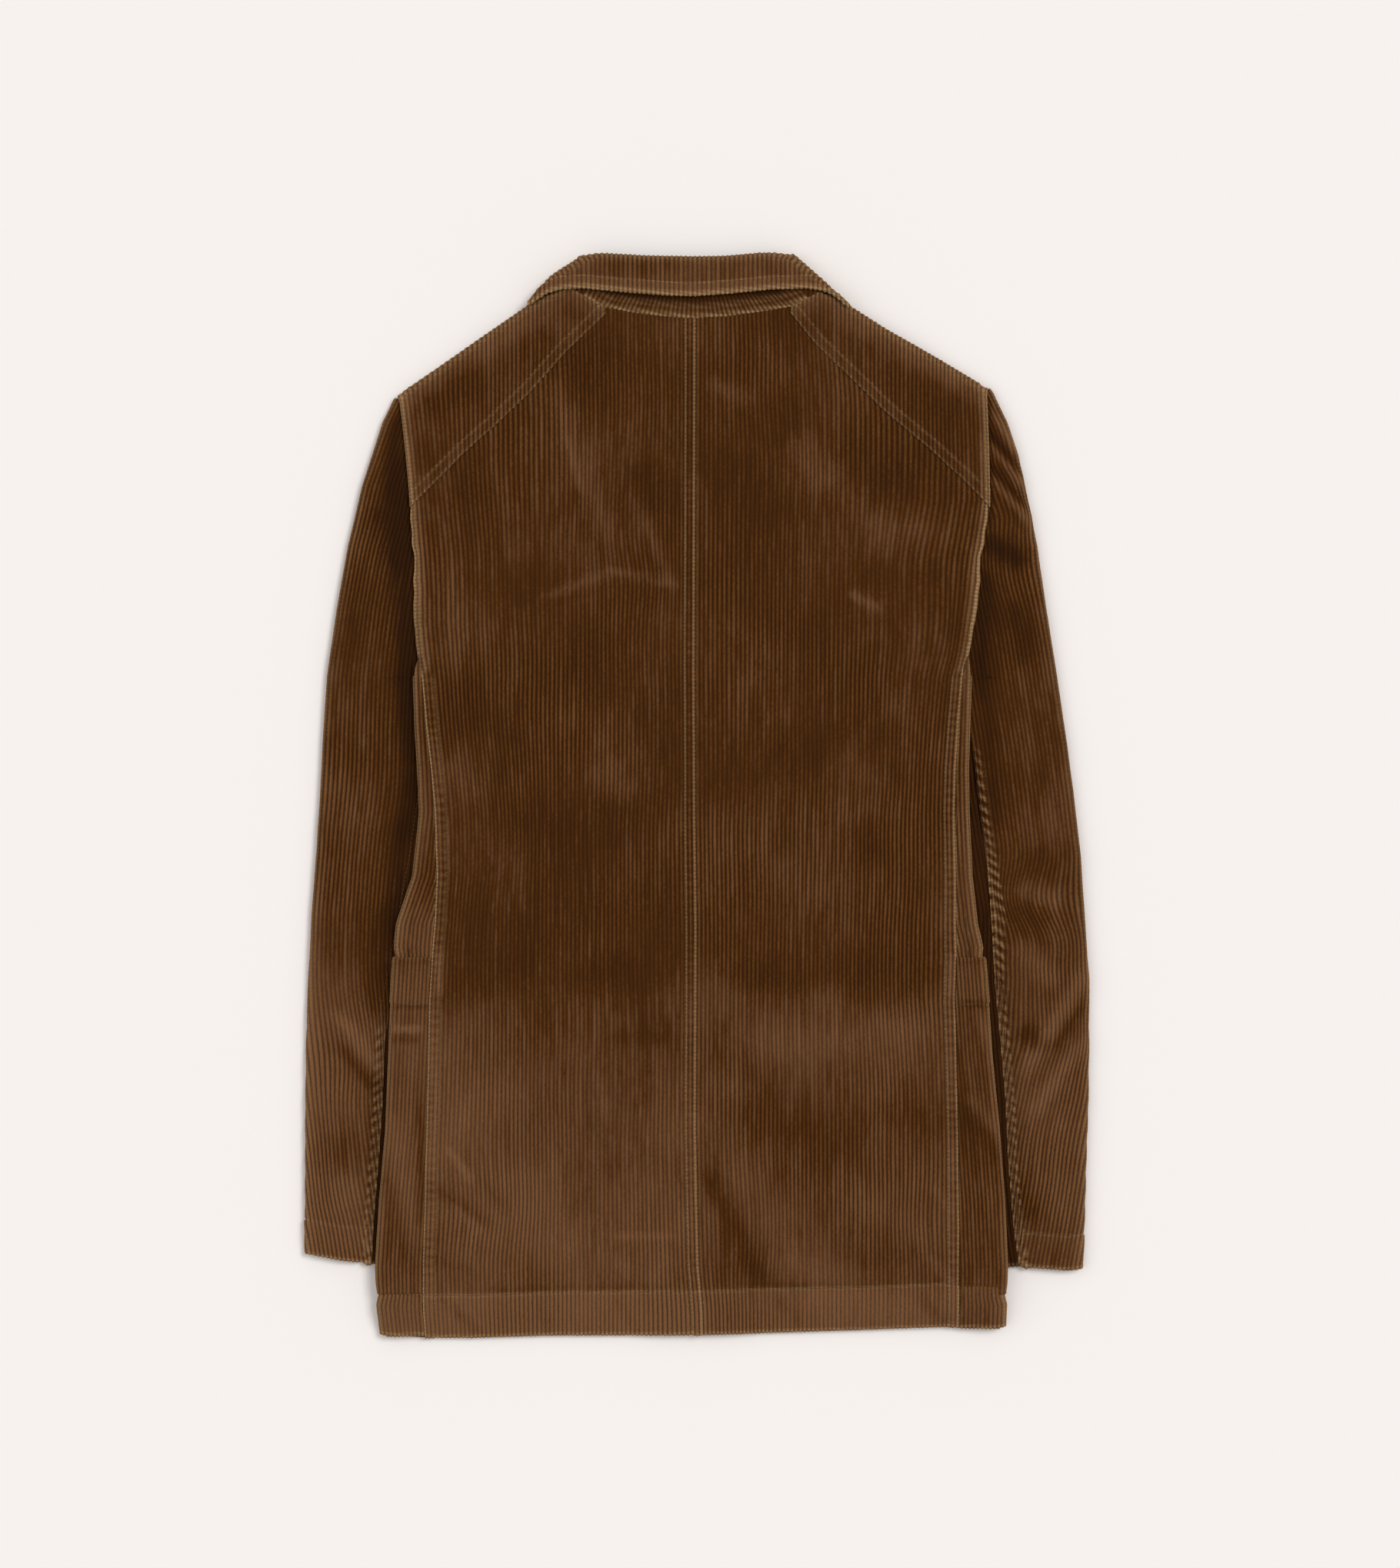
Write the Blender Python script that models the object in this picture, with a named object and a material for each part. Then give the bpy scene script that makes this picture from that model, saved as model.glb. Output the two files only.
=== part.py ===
# Corduroy jacket, laid flat with its back uppermost, its sleeves tucked under the sides of the body.
# Every piece that a maker cuts is one closed shell of cloth. Sizes are in millimetres until mesh_object().
# Heights along the garment are counted from the hem upwards; +X is the wearer's right side.
import math

import bpy
import numpy as np

MM = 0.001
MIDDLE_HEIGHT = 399.85  # height above the hem at which the frame has its origin

CLOTH = 1.8  # thickness of the corduroy
SEAM_GAP = 0.3  # space left between two pieces at a seam
LAYER = CLOTH + SEAM_GAP  # from the middle of one layer to the middle of the next one on it
FLOOR_LAYER = CLOTH / 2  # middle of a layer that lies on the floor
FOLD_SPACE = 5.8  # between the two middles of the cloth at a folded edge of the body
FLAT_SPACE = 2.7  # between the middles of front and back away from the edges
FOLD_REACH = 30.0  # how far in from an edge its fold still holds the layers apart
UNDERARM = 487.0  # height at which the armhole starts
FRONT_OVERLAP = 18.0  # each front passes the middle by this much
OVERLAP_LIFT = 2.6  # lift of the right front where the left one lies under it
SLEEVE_UNDER_BODY = 4.5  # lift of the body where a flat sleeve lies under it
SLEEVE_LIFT = 3.3  # middle of the sleeve's upper layer where the body lies on it
SLEEVE_LOFT = 6.0  # middle of the sleeve's upper layer where it lies free
HEAD_LOFT = 4.2  # middle of the sleeve's upper layer at the armhole
POCKET_TOP = 281.0
POCKET_BOTTOM = 34.0
POCKET_INNER = 74.0  # distance of the pocket's front edge from the middle
COLLAR_LIFT = 2.6  # lift of the fronts where the collar lies under them
FALL_TOP = 12.6  # middle of the collar's fall above the floor at the back
FALL_BOTTOM = 0.9
ROLL_RADIUS = 3.0
BUTTON_DIAMETER = 21.0
BUTTON_THICKNESS = 2.6
BUTTON_HEIGHTS = (255.0, 370.0, 485.0)

# Body sides: height, edge of the body, side-back seam, all from the middle line.
LEFT_BODY = (
    (0.0, -233.3, -200.5), (23.0, -235.6, -201.6), (54.0, -236.7, -201.6), (102.0, -233.9, -200.5),
    (155.0, -229.4, -199.1), (208.0, -227.1, -198.0), (249.0, -225.4, -197.1), (281.0, -223.5, -195.2),
    (306.0, -221.4, -193.2), (341.0, -209.6, -191.5), (388.0, -204.6, -192.9), (419.0, -205.9, -195.6),
    (453.0, -207.9, -199.4), (487.0, -209.0, -202.2),
)
RIGHT_BODY = (
    (0.0, 227.1, 192.6), (23.0, 227.4, 192.6), (54.0, 228.2, 192.6), (102.0, 226.2, 192.6),
    (155.0, 222.3, 192.0), (208.0, 216.9, 190.9), (249.0, 214.1, 189.8), (281.0, 211.6, 190.9),
    (306.0, 206.2, 190.3), (341.0, 202.5, 190.1), (388.0, 200.2, 189.3), (419.0, 199.6, 190.0),
    (453.0, 200.6, 192.2), (487.0, 201.8, 195.0),
)
# Armhole edge of the back and of the shoulder: height, distance.
LEFT_ARMHOLE = ((487.0, -202.2), (504.0, -204.2), (525.0, -206.2), (550.0, -206.6), (575.0, -208.1),
                (594.0, -209.8), (617.0, -211.5), (634.0, -212.9), (650.0, -214.4), (666.0, -216.1),
                (682.0, -218.0), (695.7, -219.7))
RIGHT_ARMHOLE = ((487.0, 195.0), (504.0, 198.8), (525.0, 202.2), (550.0, 205.9), (575.0, 208.6),
                 (594.0, 211.8), (617.0, 215.2), (634.0, 214.9), (650.0, 214.6), (666.0, 214.1),
                 (682.0, 213.5), (700.8, 212.7))
# Front armhole under the body: share of the way up from the underarm, hollow towards the middle.
FRONT_ARMHOLE = ((0.0, 0.0), (0.12, 17.0), (0.26, 19.0), (0.42, 17.0), (0.58, 13.0), (0.74, 8.0), (0.88, 3.5), (1.0, 0.0))
# Sleeves: height, outer edge, back seam, inner fold under the body, forearm seam on the floor.
LEFT_SLEEVE = (
    (56.0, -288.6, -246.9, -153.0, -196.0), (85.0, -289.0, -245.8, -150.0, -195.0),
    (131.0, -288.7, -240.1, -145.0, -194.0), (176.0, -288.7, -234.4, -139.0, -192.0),
    (221.0, -288.2, -229.9, -132.0, -190.0), (266.0, -286.5, -221.4, -125.0, -188.0),
    (312.0, -284.2, -212.9, -118.0, -187.0), (357.0, -280.8, -204.5, -112.0, -186.0),
    (402.0, -278.0, -198.2, -110.0, -186.0), (447.0, -275.7, -194.8, -124.0, -188.0),
    (487.0, -272.9, -196.0, -168.0, -196.0), (538.0, -265.5, -204.4, -204.4, -204.4),
    (583.0, -257.6, -206.0, -206.0, -206.0), (628.0, -246.9, -209.0, -209.0, -209.0),
    (651.0, -239.5, -211.0, -211.0, -211.0), (674.0, -232.2, -214.0, -214.0, -214.0),
    (693.0, -223.0, -216.0, -216.0, -216.0),
)
RIGHT_SLEEVE = (
    (56.0, 284.1, 237.0, 150.0, 192.0), (85.0, 285.4, 232.6, 147.0, 191.0),
    (131.0, 286.5, 228.8, 143.0, 190.0), (176.0, 288.2, 226.9, 137.0, 188.0),
    (221.0, 288.7, 223.0, 130.0, 186.0), (266.0, 288.6, 218.6, 123.0, 185.0),
    (312.0, 285.5, 219.8, 116.0, 184.0), (357.0, 282.4, 212.6, 110.0, 183.0),
    (402.0, 277.4, 205.0, 108.0, 183.0), (447.0, 271.2, 200.6, 120.0, 185.0),
    (487.0, 265.2, 195.0, 160.0, 192.0), (538.0, 257.1, 201.0, 201.0, 201.0),
    (583.0, 250.8, 206.8, 206.8, 206.8), (617.0, 244.0, 212.2, 212.2, 212.2),
    (651.0, 236.7, 211.6, 211.6, 211.6), (674.0, 228.8, 210.6, 210.6, 210.6),
    (696.0, 218.4, 210.0, 210.0, 210.0),
)
# Shoulder ridge from the neck to the shoulder point, and the seam that joins front to back behind it.
LEFT_RIDGE = ((-97.0, 776.0), (-110.0, 768.5), (-124.7, 760.8), (-151.9, 742.1), (-185.8, 718.9), (-219.7, 695.7))
RIGHT_RIDGE = ((92.5, 772.5), (104.0, 763.5), (112.0, 757.8), (118.0, 756.4), (141.1, 742.1), (182.4, 718.9), (212.7, 700.8))
LEFT_SHOULDER_SEAM = ((-67.6, 759.0), (-97.0, 730.8), (-122.5, 701.9), (-147.3, 678.7), (-172.2, 656.7),
                      (-194.3, 634.0), (-211.5, 617.0))
RIGHT_SHOULDER_SEAM = ((68.7, 759.6), (86.8, 737.0), (116.2, 708.7), (137.7, 687.8), (171.7, 659.5),
                       (194.3, 638.6), (215.2, 617.1))
# Back neck seam from the middle outwards, and front neck edge from the neck point to the middle.
LEFT_BACK_NECK = ((-0.8, 751.1), (-18.0, 751.8), (-37.0, 753.9), (-53.0, 756.4), (-67.6, 759.0))
RIGHT_BACK_NECK = ((-0.8, 751.1), (23.5, 752.6), (38.0, 754.6), (53.4, 757.1), (68.7, 759.6))
LEFT_FRONT_NECK = ((-97.0, 776.0), (-91.0, 748.0), (-72.0, 716.0), (-40.0, 694.0), (0.0, 686.0), (18.0, 687.0))
RIGHT_FRONT_NECK = ((92.5, 772.5), (88.0, 748.0), (70.0, 716.0), (39.0, 694.0), (0.0, 686.0), (-18.0, 687.0))
# Middle line of the back and the lower edge of the body.
BACK_MIDDLE = ((0.0, 4.8), (23.0, 4.2), (54.0, 1.4), (102.0, 0.3), (155.0, -0.6), (306.0, 0.0), (388.0, -1.1),
               (487.0, -1.6), (751.0, -0.8))
HEM = ((-234.0, 3.4), (-206.0, 0.8), (-165.0, 0.6), (-110.0, 2.3), (0.0, 2.8), (115.0, 6.2), (175.0, 8.6), (228.0, 9.0))
# Lower edge of each sleeve: distance from the middle, height.
LEFT_CUFF = ((-289.0, 62.8), (-262.0, 57.7), (-236.0, 54.9), (-150.0, 54.0))
RIGHT_CUFF = ((150.0, 54.0), (237.0, 53.0), (274.0, 50.3), (289.0, 52.5))
# Largest folds of the sleeves: start, end, half width, height above the flat cloth.
LEFT_FOLDS = ((-263.8, 232.5, -233.0, 192.9, 9.0, 1.3), (-272.0, 209.8, -241.0, 178.0, 8.0, -1.1),
              (-270.0, 300.0, -232.0, 262.0, 10.0, 0.9), (-262.0, 505.0, -224.0, 455.0, 11.0, 1.0))
RIGHT_FOLDS = ((222.0, 686.0, 236.0, 640.0, 7.0, 1.2), (222.0, 563.0, 250.0, 572.0, 10.0, -1.3),
               (233.0, 289.0, 278.0, 362.0, 9.0, 1.4), (228.0, 311.0, 270.0, 334.0, 9.0, -1.5),
               (240.0, 396.0, 268.0, 440.0, 11.0, 0.9))
# Collar: edge of the fall and its roll line, each from the middle of the back to the side fold.
LEFT_FALL_EDGE = ((-0.8, 765.8), (-22.3, 766.2), (-52.3, 768.7), (-82.9, 771.5), (-99.0, 770.8))
LEFT_ROLL = ((-0.8, 796.4), (-37.6, 797.0), (-67.6, 798.6), (-76.0, 798.9))
RIGHT_FALL_EDGE = ((-0.8, 765.8), (23.5, 767.5), (53.4, 770.6), (80.0, 771.4), (90.0, 769.6))
RIGHT_ROLL = ((-0.8, 796.4), (20.0, 796.8), (46.1, 798.9), (60.0, 799.2))
# The side fold of the collar seen from above: roll end, edge end.
LEFT_COLLAR_FOLD = ((-84.6, 798.8), (-122.5, 766.4))
RIGHT_COLLAR_FOLD = ((69.5, 800.0), (107.0, 766.7))
# The collar on the floor side, from the side fold to the front end: edge and roll.
LEFT_FALL_FRONT = ((-117.0, 750.0), (-106.0, 726.0), (-88.0, 700.0), (-64.0, 676.0), (-38.0, 654.0))
LEFT_ROLL_FRONT = ((-72.0, 786.0), (-64.0, 758.0), (-48.0, 734.0), (-26.0, 718.0), (-5.0, 713.0))

FRONT_COLLAR_SHARE = 0.9  # width of the right front half of the collar to the left one

ROWS = (0.0, 14.0, 34.0, 62.0, 96.0, 134.0, 172.0, 210.0, 246.0, 281.0, 312.0, 345.0, 385.0, 425.0, 458.0, 487.0)
ARMHOLE_STEPS = (0.12, 0.26, 0.42, 0.58, 0.74, 0.88, 1.0)
NECK_CELLS = 9  # cells of a front along its neck edge
SHOULDER_CELLS = 9  # cells along the shoulder ridge and along the shoulder seam
BACK_NECK_CELLS = 5
FOLD_CELLS = 6  # cells round a folded edge
SHOULDER_BACK_CELLS = 5  # cells from the ridge down to the shoulder seam
SIDE_BACK_CELLS = 3  # cells from the body's edge to the side-back seam


def smooth(value):
    value = np.clip(value, 0.0, 1.0)
    return value * value * (3.0 - 2.0 * value)


def column(table, index, height):
    return float(np.interp(height, [row[0] for row in table], [row[index] for row in table]))


def along(line, share):
    """Point at a share of the length of a line."""
    points = np.array(line, dtype=float)
    steps = np.linalg.norm(np.diff(points, axis=0), axis=1)
    travelled = np.concatenate(([0.0], np.cumsum(steps)))
    at = share * travelled[-1]
    return np.array([np.interp(at, travelled, points[:, axis]) for axis in range(points.shape[1])])


def distance_to(line, x, y):
    best = 1e9
    for start, end in zip(line[:-1], line[1:]):
        span_x = end[0] - start[0]
        span_y = end[1] - start[1]
        share = ((x - start[0]) * span_x + (y - start[1]) * span_y) / (span_x ** 2 + span_y ** 2)
        share = min(1.0, max(0.0, share))
        best = min(best, math.hypot(x - start[0] - share * span_x, y - start[1] - share * span_y))
    return best


LEFT = {
    "sign": -1, "body": LEFT_BODY, "armhole": LEFT_ARMHOLE, "sleeve": LEFT_SLEEVE, "ridge": LEFT_RIDGE,
    "seam": LEFT_SHOULDER_SEAM, "back_neck": LEFT_BACK_NECK, "front_neck": LEFT_FRONT_NECK,
    "fall_edge": LEFT_FALL_EDGE, "roll": LEFT_ROLL, "fold": LEFT_COLLAR_FOLD, "cuff": LEFT_CUFF, "folds": LEFT_FOLDS,
}
RIGHT = {
    "sign": 1, "body": RIGHT_BODY, "armhole": RIGHT_ARMHOLE, "sleeve": RIGHT_SLEEVE, "ridge": RIGHT_RIDGE,
    "seam": RIGHT_SHOULDER_SEAM, "back_neck": RIGHT_BACK_NECK, "front_neck": RIGHT_FRONT_NECK,
    "fall_edge": RIGHT_FALL_EDGE, "roll": RIGHT_ROLL, "fold": RIGHT_COLLAR_FOLD, "cuff": RIGHT_CUFF, "folds": RIGHT_FOLDS,
}
for side in (LEFT, RIGHT):
    outline = [(row[1], row[0]) for row in side["body"]]
    outline += [(row[1], row[0]) for row in side["armhole"]]
    outline += list(reversed(side["ridge"]))[1:]
    side["outline"] = outline
COLLAR_SPINE = ((-108.0, 752.0), (-86.0, 722.0), (-52.0, 692.0), (0.0, 684.0), (52.0, 692.0), (86.0, 722.0), (108.0, 752.0))


def side_of(x):
    return LEFT if x < 0 else RIGHT


def pocket_share(x, y):
    across = smooth((abs(x) - POCKET_INNER + 34.0) / 30.0)
    upward = smooth((POCKET_TOP + 34.0 - y) / 30.0)
    downward = smooth((y - POCKET_BOTTOM + 30.0) / 26.0)
    return across * upward * downward


def sleeve_share(x, y):
    inner = abs(column(side_of(x)["sleeve"], 3, min(y, UNDERARM)))
    across = smooth((abs(x) - inner + 66.0) / 46.0)
    upward = smooth((UNDERARM + 86.0 - y) / 62.0)
    downward = smooth((y - 2.0) / 32.0)
    return across * upward * downward


def front_height(x, y):
    """Middle of the front on one layer, on whatever lies under it."""
    collar = smooth((88.0 - distance_to(COLLAR_SPINE, x, y)) / 45.0)
    lift = LAYER * pocket_share(x, y) + SLEEVE_UNDER_BODY * sleeve_share(x, y)
    return FLOOR_LAYER + lift + COLLAR_LIFT * collar + button_lift(x, y)


def button_lift(x, y):
    lift = 0.0
    for height in BUTTON_HEIGHTS:
        reach = math.hypot(x, y - height)
        lift = max(lift, (BUTTON_THICKNESS + SEAM_GAP) * float(smooth((76.0 - reach) / 48.0)))
    return lift


def overlap_share(x, y):
    return float(smooth((56.0 - abs(x)) / 34.0))


def back_height(x, y):
    """Middle of the back on both fronts, held off them near a folded edge."""
    near = smooth(1.2 - distance_to(side_of(x)["outline"], x, y) / FOLD_REACH)
    space = FLAT_SPACE + (FOLD_SPACE - FLAT_SPACE) * near
    return front_height(x, y) + OVERLAP_LIFT * overlap_share(x, y) + space


def shell_mesh(points, cells, outward=1.0):
    """Closed shell of cloth on a net of middle points; cells are keys of the points at their four corners."""
    keys = sorted({key for cell in cells for key in cell})
    place = {key: number for number, key in enumerate(keys)}
    middle = np.array([points[key] for key in keys], dtype=float)
    faces = [[place[key] for key in cell] for cell in cells]
    normals = np.zeros_like(middle)
    for face in faces:
        a, b, c, d = (middle[number] for number in face)
        across = np.cross(c - a, d - b)
        across /= max(1e-9, np.linalg.norm(across))
        for number in face:
            normals[number] += across
    normals /= np.linalg.norm(normals, axis=1)[:, None]
    normals *= outward
    outer = middle + normals * CLOTH / 2
    inner = middle - normals * CLOTH / 2
    count = len(keys)
    verts = np.vstack((outer, inner))
    edges = {}
    for face in faces:
        for start, end in zip(face, face[1:] + face[:1]):
            edges[(start, end)] = edges.get((start, end), 0) + 1
    result = []
    for face in faces:
        result.append(tuple(face))
        result.append(tuple(number + count for number in reversed(face)))
    for start, end in edges:
        if (end, start) not in edges:
            result.append((end, start, start + count, end + count))
    if outward < 0:
        result = [tuple(reversed(face)) for face in result]
    return verts, result, dict(zip(keys, normals))


def mesh_object(name, verts, faces, colour, roughness):
    moved = [((x) * MM, (y - MIDDLE_HEIGHT) * MM, z * MM) for x, y, z in verts]
    mesh = bpy.data.meshes.new(name)
    mesh.from_pydata(moved, [], faces)
    mesh.update()
    part = bpy.data.objects.new(name, mesh)
    bpy.context.scene.collection.objects.link(part)
    material = bpy.data.materials.new(name + "_cloth" if roughness > 0.6 else name + "_horn")
    material.use_nodes = True
    shader = material.node_tree.nodes["Principled BSDF"]
    shader.inputs["Base Color"].default_value = (*colour, 1.0)
    shader.inputs["Roughness"].default_value = roughness
    mesh.materials.append(material)
    return part


def net_cells(columns, rows, start_column=0, start_row=0):
    cells = []
    for i in range(start_column, start_column + columns):
        for j in range(start_row, start_row + rows):
            cells.append(((i, j), (i + 1, j), (i + 1, j + 1), (i, j + 1)))
    return cells


def fold_radius():
    return FOLD_SPACE / 2


def front_points(side):
    """Net of one front: under the body, round the side to the side-back seam, over the ridge to the shoulder seam."""
    sign = side["sign"]
    points = {}
    last = NECK_CELLS + SHOULDER_CELLS
    level = len(ROWS) - 1
    radius = fold_radius()
    inset = radius + CLOTH / 2
    middle_x = -sign * FRONT_OVERLAP

    def edge_x(height):
        pocket = smooth((POCKET_TOP + 8.0 - height) / 8.0) * smooth((height - POCKET_BOTTOM + 8.0) / 8.0)
        return column(side["body"], 1, height) - sign * (inset + LAYER * pocket)

    def layer_height(x, y):
        raised = OVERLAP_LIFT * overlap_share(x, y) if sign > 0 and x < 56.0 else 0.0
        return front_height(x, y) + raised

    for i in range(last + 1):
        share = i / last
        if i <= NECK_CELLS:
            top = along(side["front_neck"], 1.0 - i / NECK_CELLS)
        else:
            top = along(side["ridge"], (i - NECK_CELLS) / SHOULDER_CELLS)
        outward = ridge_normal(side) * (inset if i >= NECK_CELLS else 0.0)
        top = top - outward
        for j, height in enumerate(ROWS):
            x = middle_x + share * (edge_x(height) - middle_x)
            y = max(height, float(np.interp(x, [p[0] for p in HEM], [p[1] for p in HEM]))) if j == 0 else height
            points[(i, j)] = (x, y, layer_height(x, y))
        base_x = points[(i, level)][0]
        for step, share_up in enumerate(ARMHOLE_STEPS):
            scoop = float(np.interp(share_up, *zip(*FRONT_ARMHOLE))) * share ** 5
            x = base_x + (top[0] - base_x) * share_up - sign * scoop
            y = UNDERARM + (top[1] - UNDERARM) * share_up
            points[(i, level + 1 + step)] = (x, y, layer_height(x, y))
    # round the side edge and back along the top to the side-back seam
    for j in range(level + 1):
        start_x, y, start_z = points[(last, j)]
        end_z = back_height(start_x, y)
        half = (end_z - start_z) / 2
        for step in range(1, FOLD_CELLS + 1):
            angle = math.pi * (step / FOLD_CELLS) - math.pi / 2
            x = start_x + sign * radius * math.cos(angle)
            points[(last + step, j)] = (x, y, start_z + half * (1 + math.sin(angle)))
        seam_x = column(side["body"], 2, y) + sign * SEAM_GAP / 2
        for step in range(1, SIDE_BACK_CELLS + 1):
            x = start_x + (seam_x - start_x) * step / SIDE_BACK_CELLS
            points[(last + FOLD_CELLS + step, j)] = (x, y, back_height(x, y))
    # over the shoulder ridge and down to the shoulder seam
    top_row = level + len(ARMHOLE_STEPS)
    normal = ridge_normal(side)
    for i in range(NECK_CELLS, last + 1):
        start = np.array(points[(i, top_row)])
        end_z = back_height(start[0], start[1])
        half = (end_z - start[2]) / 2
        for step in range(1, FOLD_CELLS + 1):
            angle = math.pi * (step / FOLD_CELLS) - math.pi / 2
            out = normal * radius * math.cos(angle)
            points[(i, top_row + step)] = (start[0] + out[0], start[1] + out[1], start[2] + half * (1 + math.sin(angle)))
        seam = along(side["seam"], (i - NECK_CELLS) / SHOULDER_CELLS) + normal * SEAM_GAP / 2
        for step in range(1, SHOULDER_BACK_CELLS + 1):
            x, y = start[:2] + (seam - start[:2]) * step / SHOULDER_BACK_CELLS
            points[(i, top_row + FOLD_CELLS + step)] = (x, y, back_height(x, y))
    cells = net_cells(last, top_row)
    cells += net_cells(FOLD_CELLS + SIDE_BACK_CELLS, level, start_column=last)
    cells += net_cells(SHOULDER_CELLS, FOLD_CELLS + SHOULDER_BACK_CELLS, start_column=NECK_CELLS, start_row=top_row)
    return points, cells


def ridge_normal(side):
    span = np.array(side["ridge"][-1]) - np.array(side["ridge"][0])
    normal = np.array((-span[1], span[0])) * -side["sign"]
    normal = normal / np.linalg.norm(normal)
    return normal if normal[1] > 0 else -normal


def back_points(side):
    """Net of one back panel, from the middle seam to the side-back seam, armhole, shoulder seam and neck."""
    sign = side["sign"]
    points = {}
    last = BACK_NECK_CELLS + SHOULDER_CELLS
    level = len(ROWS) - 1
    for i in range(last + 1):
        share = i / last
        if i <= BACK_NECK_CELLS:
            top = along(side["back_neck"], i / BACK_NECK_CELLS)
            if i == 0:
                top = top + np.array((sign * SEAM_GAP / 2, 0.0))
        else:
            top = along(side["seam"], (i - BACK_NECK_CELLS) / SHOULDER_CELLS)
        if i >= BACK_NECK_CELLS:
            top = top - ridge_normal(side) * SEAM_GAP / 2
        for j, height in enumerate(ROWS):
            inner_x = column(BACK_MIDDLE, 1, height) + sign * SEAM_GAP / 2
            outer_x = column(side["body"], 2, height) - sign * SEAM_GAP / 2
            x = inner_x + (outer_x - inner_x) * share
            y = max(height, float(np.interp(x, [p[0] for p in HEM], [p[1] for p in HEM]))) if j == 0 else height
            points[(i, j)] = (x, y, back_height(x, y))
        base_x = points[(i, level)][0]
        for step, share_up in enumerate(ARMHOLE_STEPS):
            y = UNDERARM + (top[1] - UNDERARM) * share_up
            straight = base_x + (top[0] - base_x) * share_up
            if i == last:
                straight = column(side["armhole"], 1, y) - sign * SEAM_GAP / 2
            points[(i, level + 1 + step)] = (straight, y, back_height(straight, y))
    return points, net_cells(last, level + len(ARMHOLE_STEPS))


def sleeve_height(side, x, y):
    """Middle of the sleeve's upper layer."""
    if y <= UNDERARM:
        edge = abs(column(side["body"], 1, y))
        low = SLEEVE_LIFT
    else:
        edge = abs(column(side["armhole"], 1, y))
        low = SLEEVE_LIFT + (HEAD_LOFT - SLEEVE_LIFT) * float(smooth((y - UNDERARM) / 50.0))
    free = float(smooth((abs(x) - edge - 2.0) / 24.0))
    return low + (SLEEVE_LOFT - low) * free + fold_lift(side["folds"], x, y) * free


def fold_lift(folds, x, y):
    """Height of the folds lying across a place: each is a soft ridge or trough that fades at its ends."""
    lift = 0.0
    for start_x, start_y, end_x, end_y, half_width, height in folds:
        span_x = end_x - start_x
        span_y = end_y - start_y
        length = math.hypot(span_x, span_y)
        share = ((x - start_x) * span_x + (y - start_y) * span_y) / length ** 2
        across = ((x - start_x) * span_y - (y - start_y) * span_x) / length
        ends = float(smooth((share + 0.25) / 0.4) * smooth((1.25 - share) / 0.4))
        lift += height * math.exp(-((across / half_width) ** 2)) * ends
    return lift


SLEEVE_ROWS = (
    56.0, 72.0, 96.0, 122.0, 148.0, 172.0, 190.0, 208.0, 226.0, 246.0, 270.0, 290.0, 306.0, 322.0, 338.0, 354.0,
    374.0, 402.0, 430.0, 458.0, 487.0,
)
HEAD_SHARES = (0.12, 0.26, 0.42, 0.58, 0.74, 0.88, 0.94, 0.985)  # heights of the sleeve head up the armhole
SLEEVE_UPPER_CELLS = 10
SLEEVE_LOWER_CELLS = 5
UNDER_UPPER_CELLS = 5
UNDER_LOWER_CELLS = 4


def top_sleeve_points(side, front):
    """Net of the top sleeve: upper layer, round the outer fold, floor layer."""
    sign = side["sign"]
    points = {}
    last = NECK_CELLS + SHOULDER_CELLS
    level = len(ROWS) - 1
    heights = list(SLEEVE_ROWS)
    floor_edges = [column(side["sleeve"], 4, height) + sign * SEAM_GAP / 2 for height in heights]
    edge_line = [front[(last, level + step)] for step in range(len(ARMHOLE_STEPS) + 1)]
    for share_up in HEAD_SHARES:
        floor_edges.append(float(np.interp(share_up, (0.0,) + ARMHOLE_STEPS, [point[0] for point in edge_line])) + sign * SEAM_GAP)
        heights.append(float(np.interp(share_up, (0.0,) + ARMHOLE_STEPS, [point[1] for point in edge_line])))
    for j, y in enumerate(heights):
        outer = column(side["sleeve"], 1, y)
        inner = column(side["sleeve"], 2, y) + sign * SEAM_GAP / 2
        loft = sleeve_height(side, outer - sign * 3.0, y)
        half = (loft - FLOOR_LAYER) / 2
        turn_x = outer - sign * (half + CLOTH / 2)
        if abs(turn_x) < abs(inner) + 1.5:
            inner = turn_x - sign * 1.5
        i = 0
        for step in range(SLEEVE_UPPER_CELLS):
            x = inner + (turn_x - inner) * step / SLEEVE_UPPER_CELLS
            points[(i, j)] = (x, y, sleeve_height(side, x, y))
            i += 1
        top_z = sleeve_height(side, turn_x, y)
        half = (top_z - FLOOR_LAYER) / 2
        for step in range(FOLD_CELLS + 1):
            angle = math.pi / 2 - math.pi * step / FOLD_CELLS
            points[(i, j)] = (turn_x + sign * half * math.cos(angle), y, FLOOR_LAYER + half * (1 + math.sin(angle)))
            i += 1
        floor_edge = floor_edges[j]
        if abs(turn_x) < abs(floor_edge) + 1.5:
            floor_edge = turn_x - sign * 1.5
        for step in range(1, SLEEVE_LOWER_CELLS + 1):
            x = turn_x + (floor_edge - turn_x) * step / SLEEVE_LOWER_CELLS
            points[(i, j)] = (x, y, FLOOR_LAYER)
            i += 1
    set_cuff(side, points)
    return points, net_cells(i - 1, len(heights) - 1)


def set_cuff(side, points):
    for (i, j), (x, y, z) in list(points.items()):
        if j == 0:
            points[(i, j)] = (x, float(np.interp(x, *zip(*side["cuff"]))), z)


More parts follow.
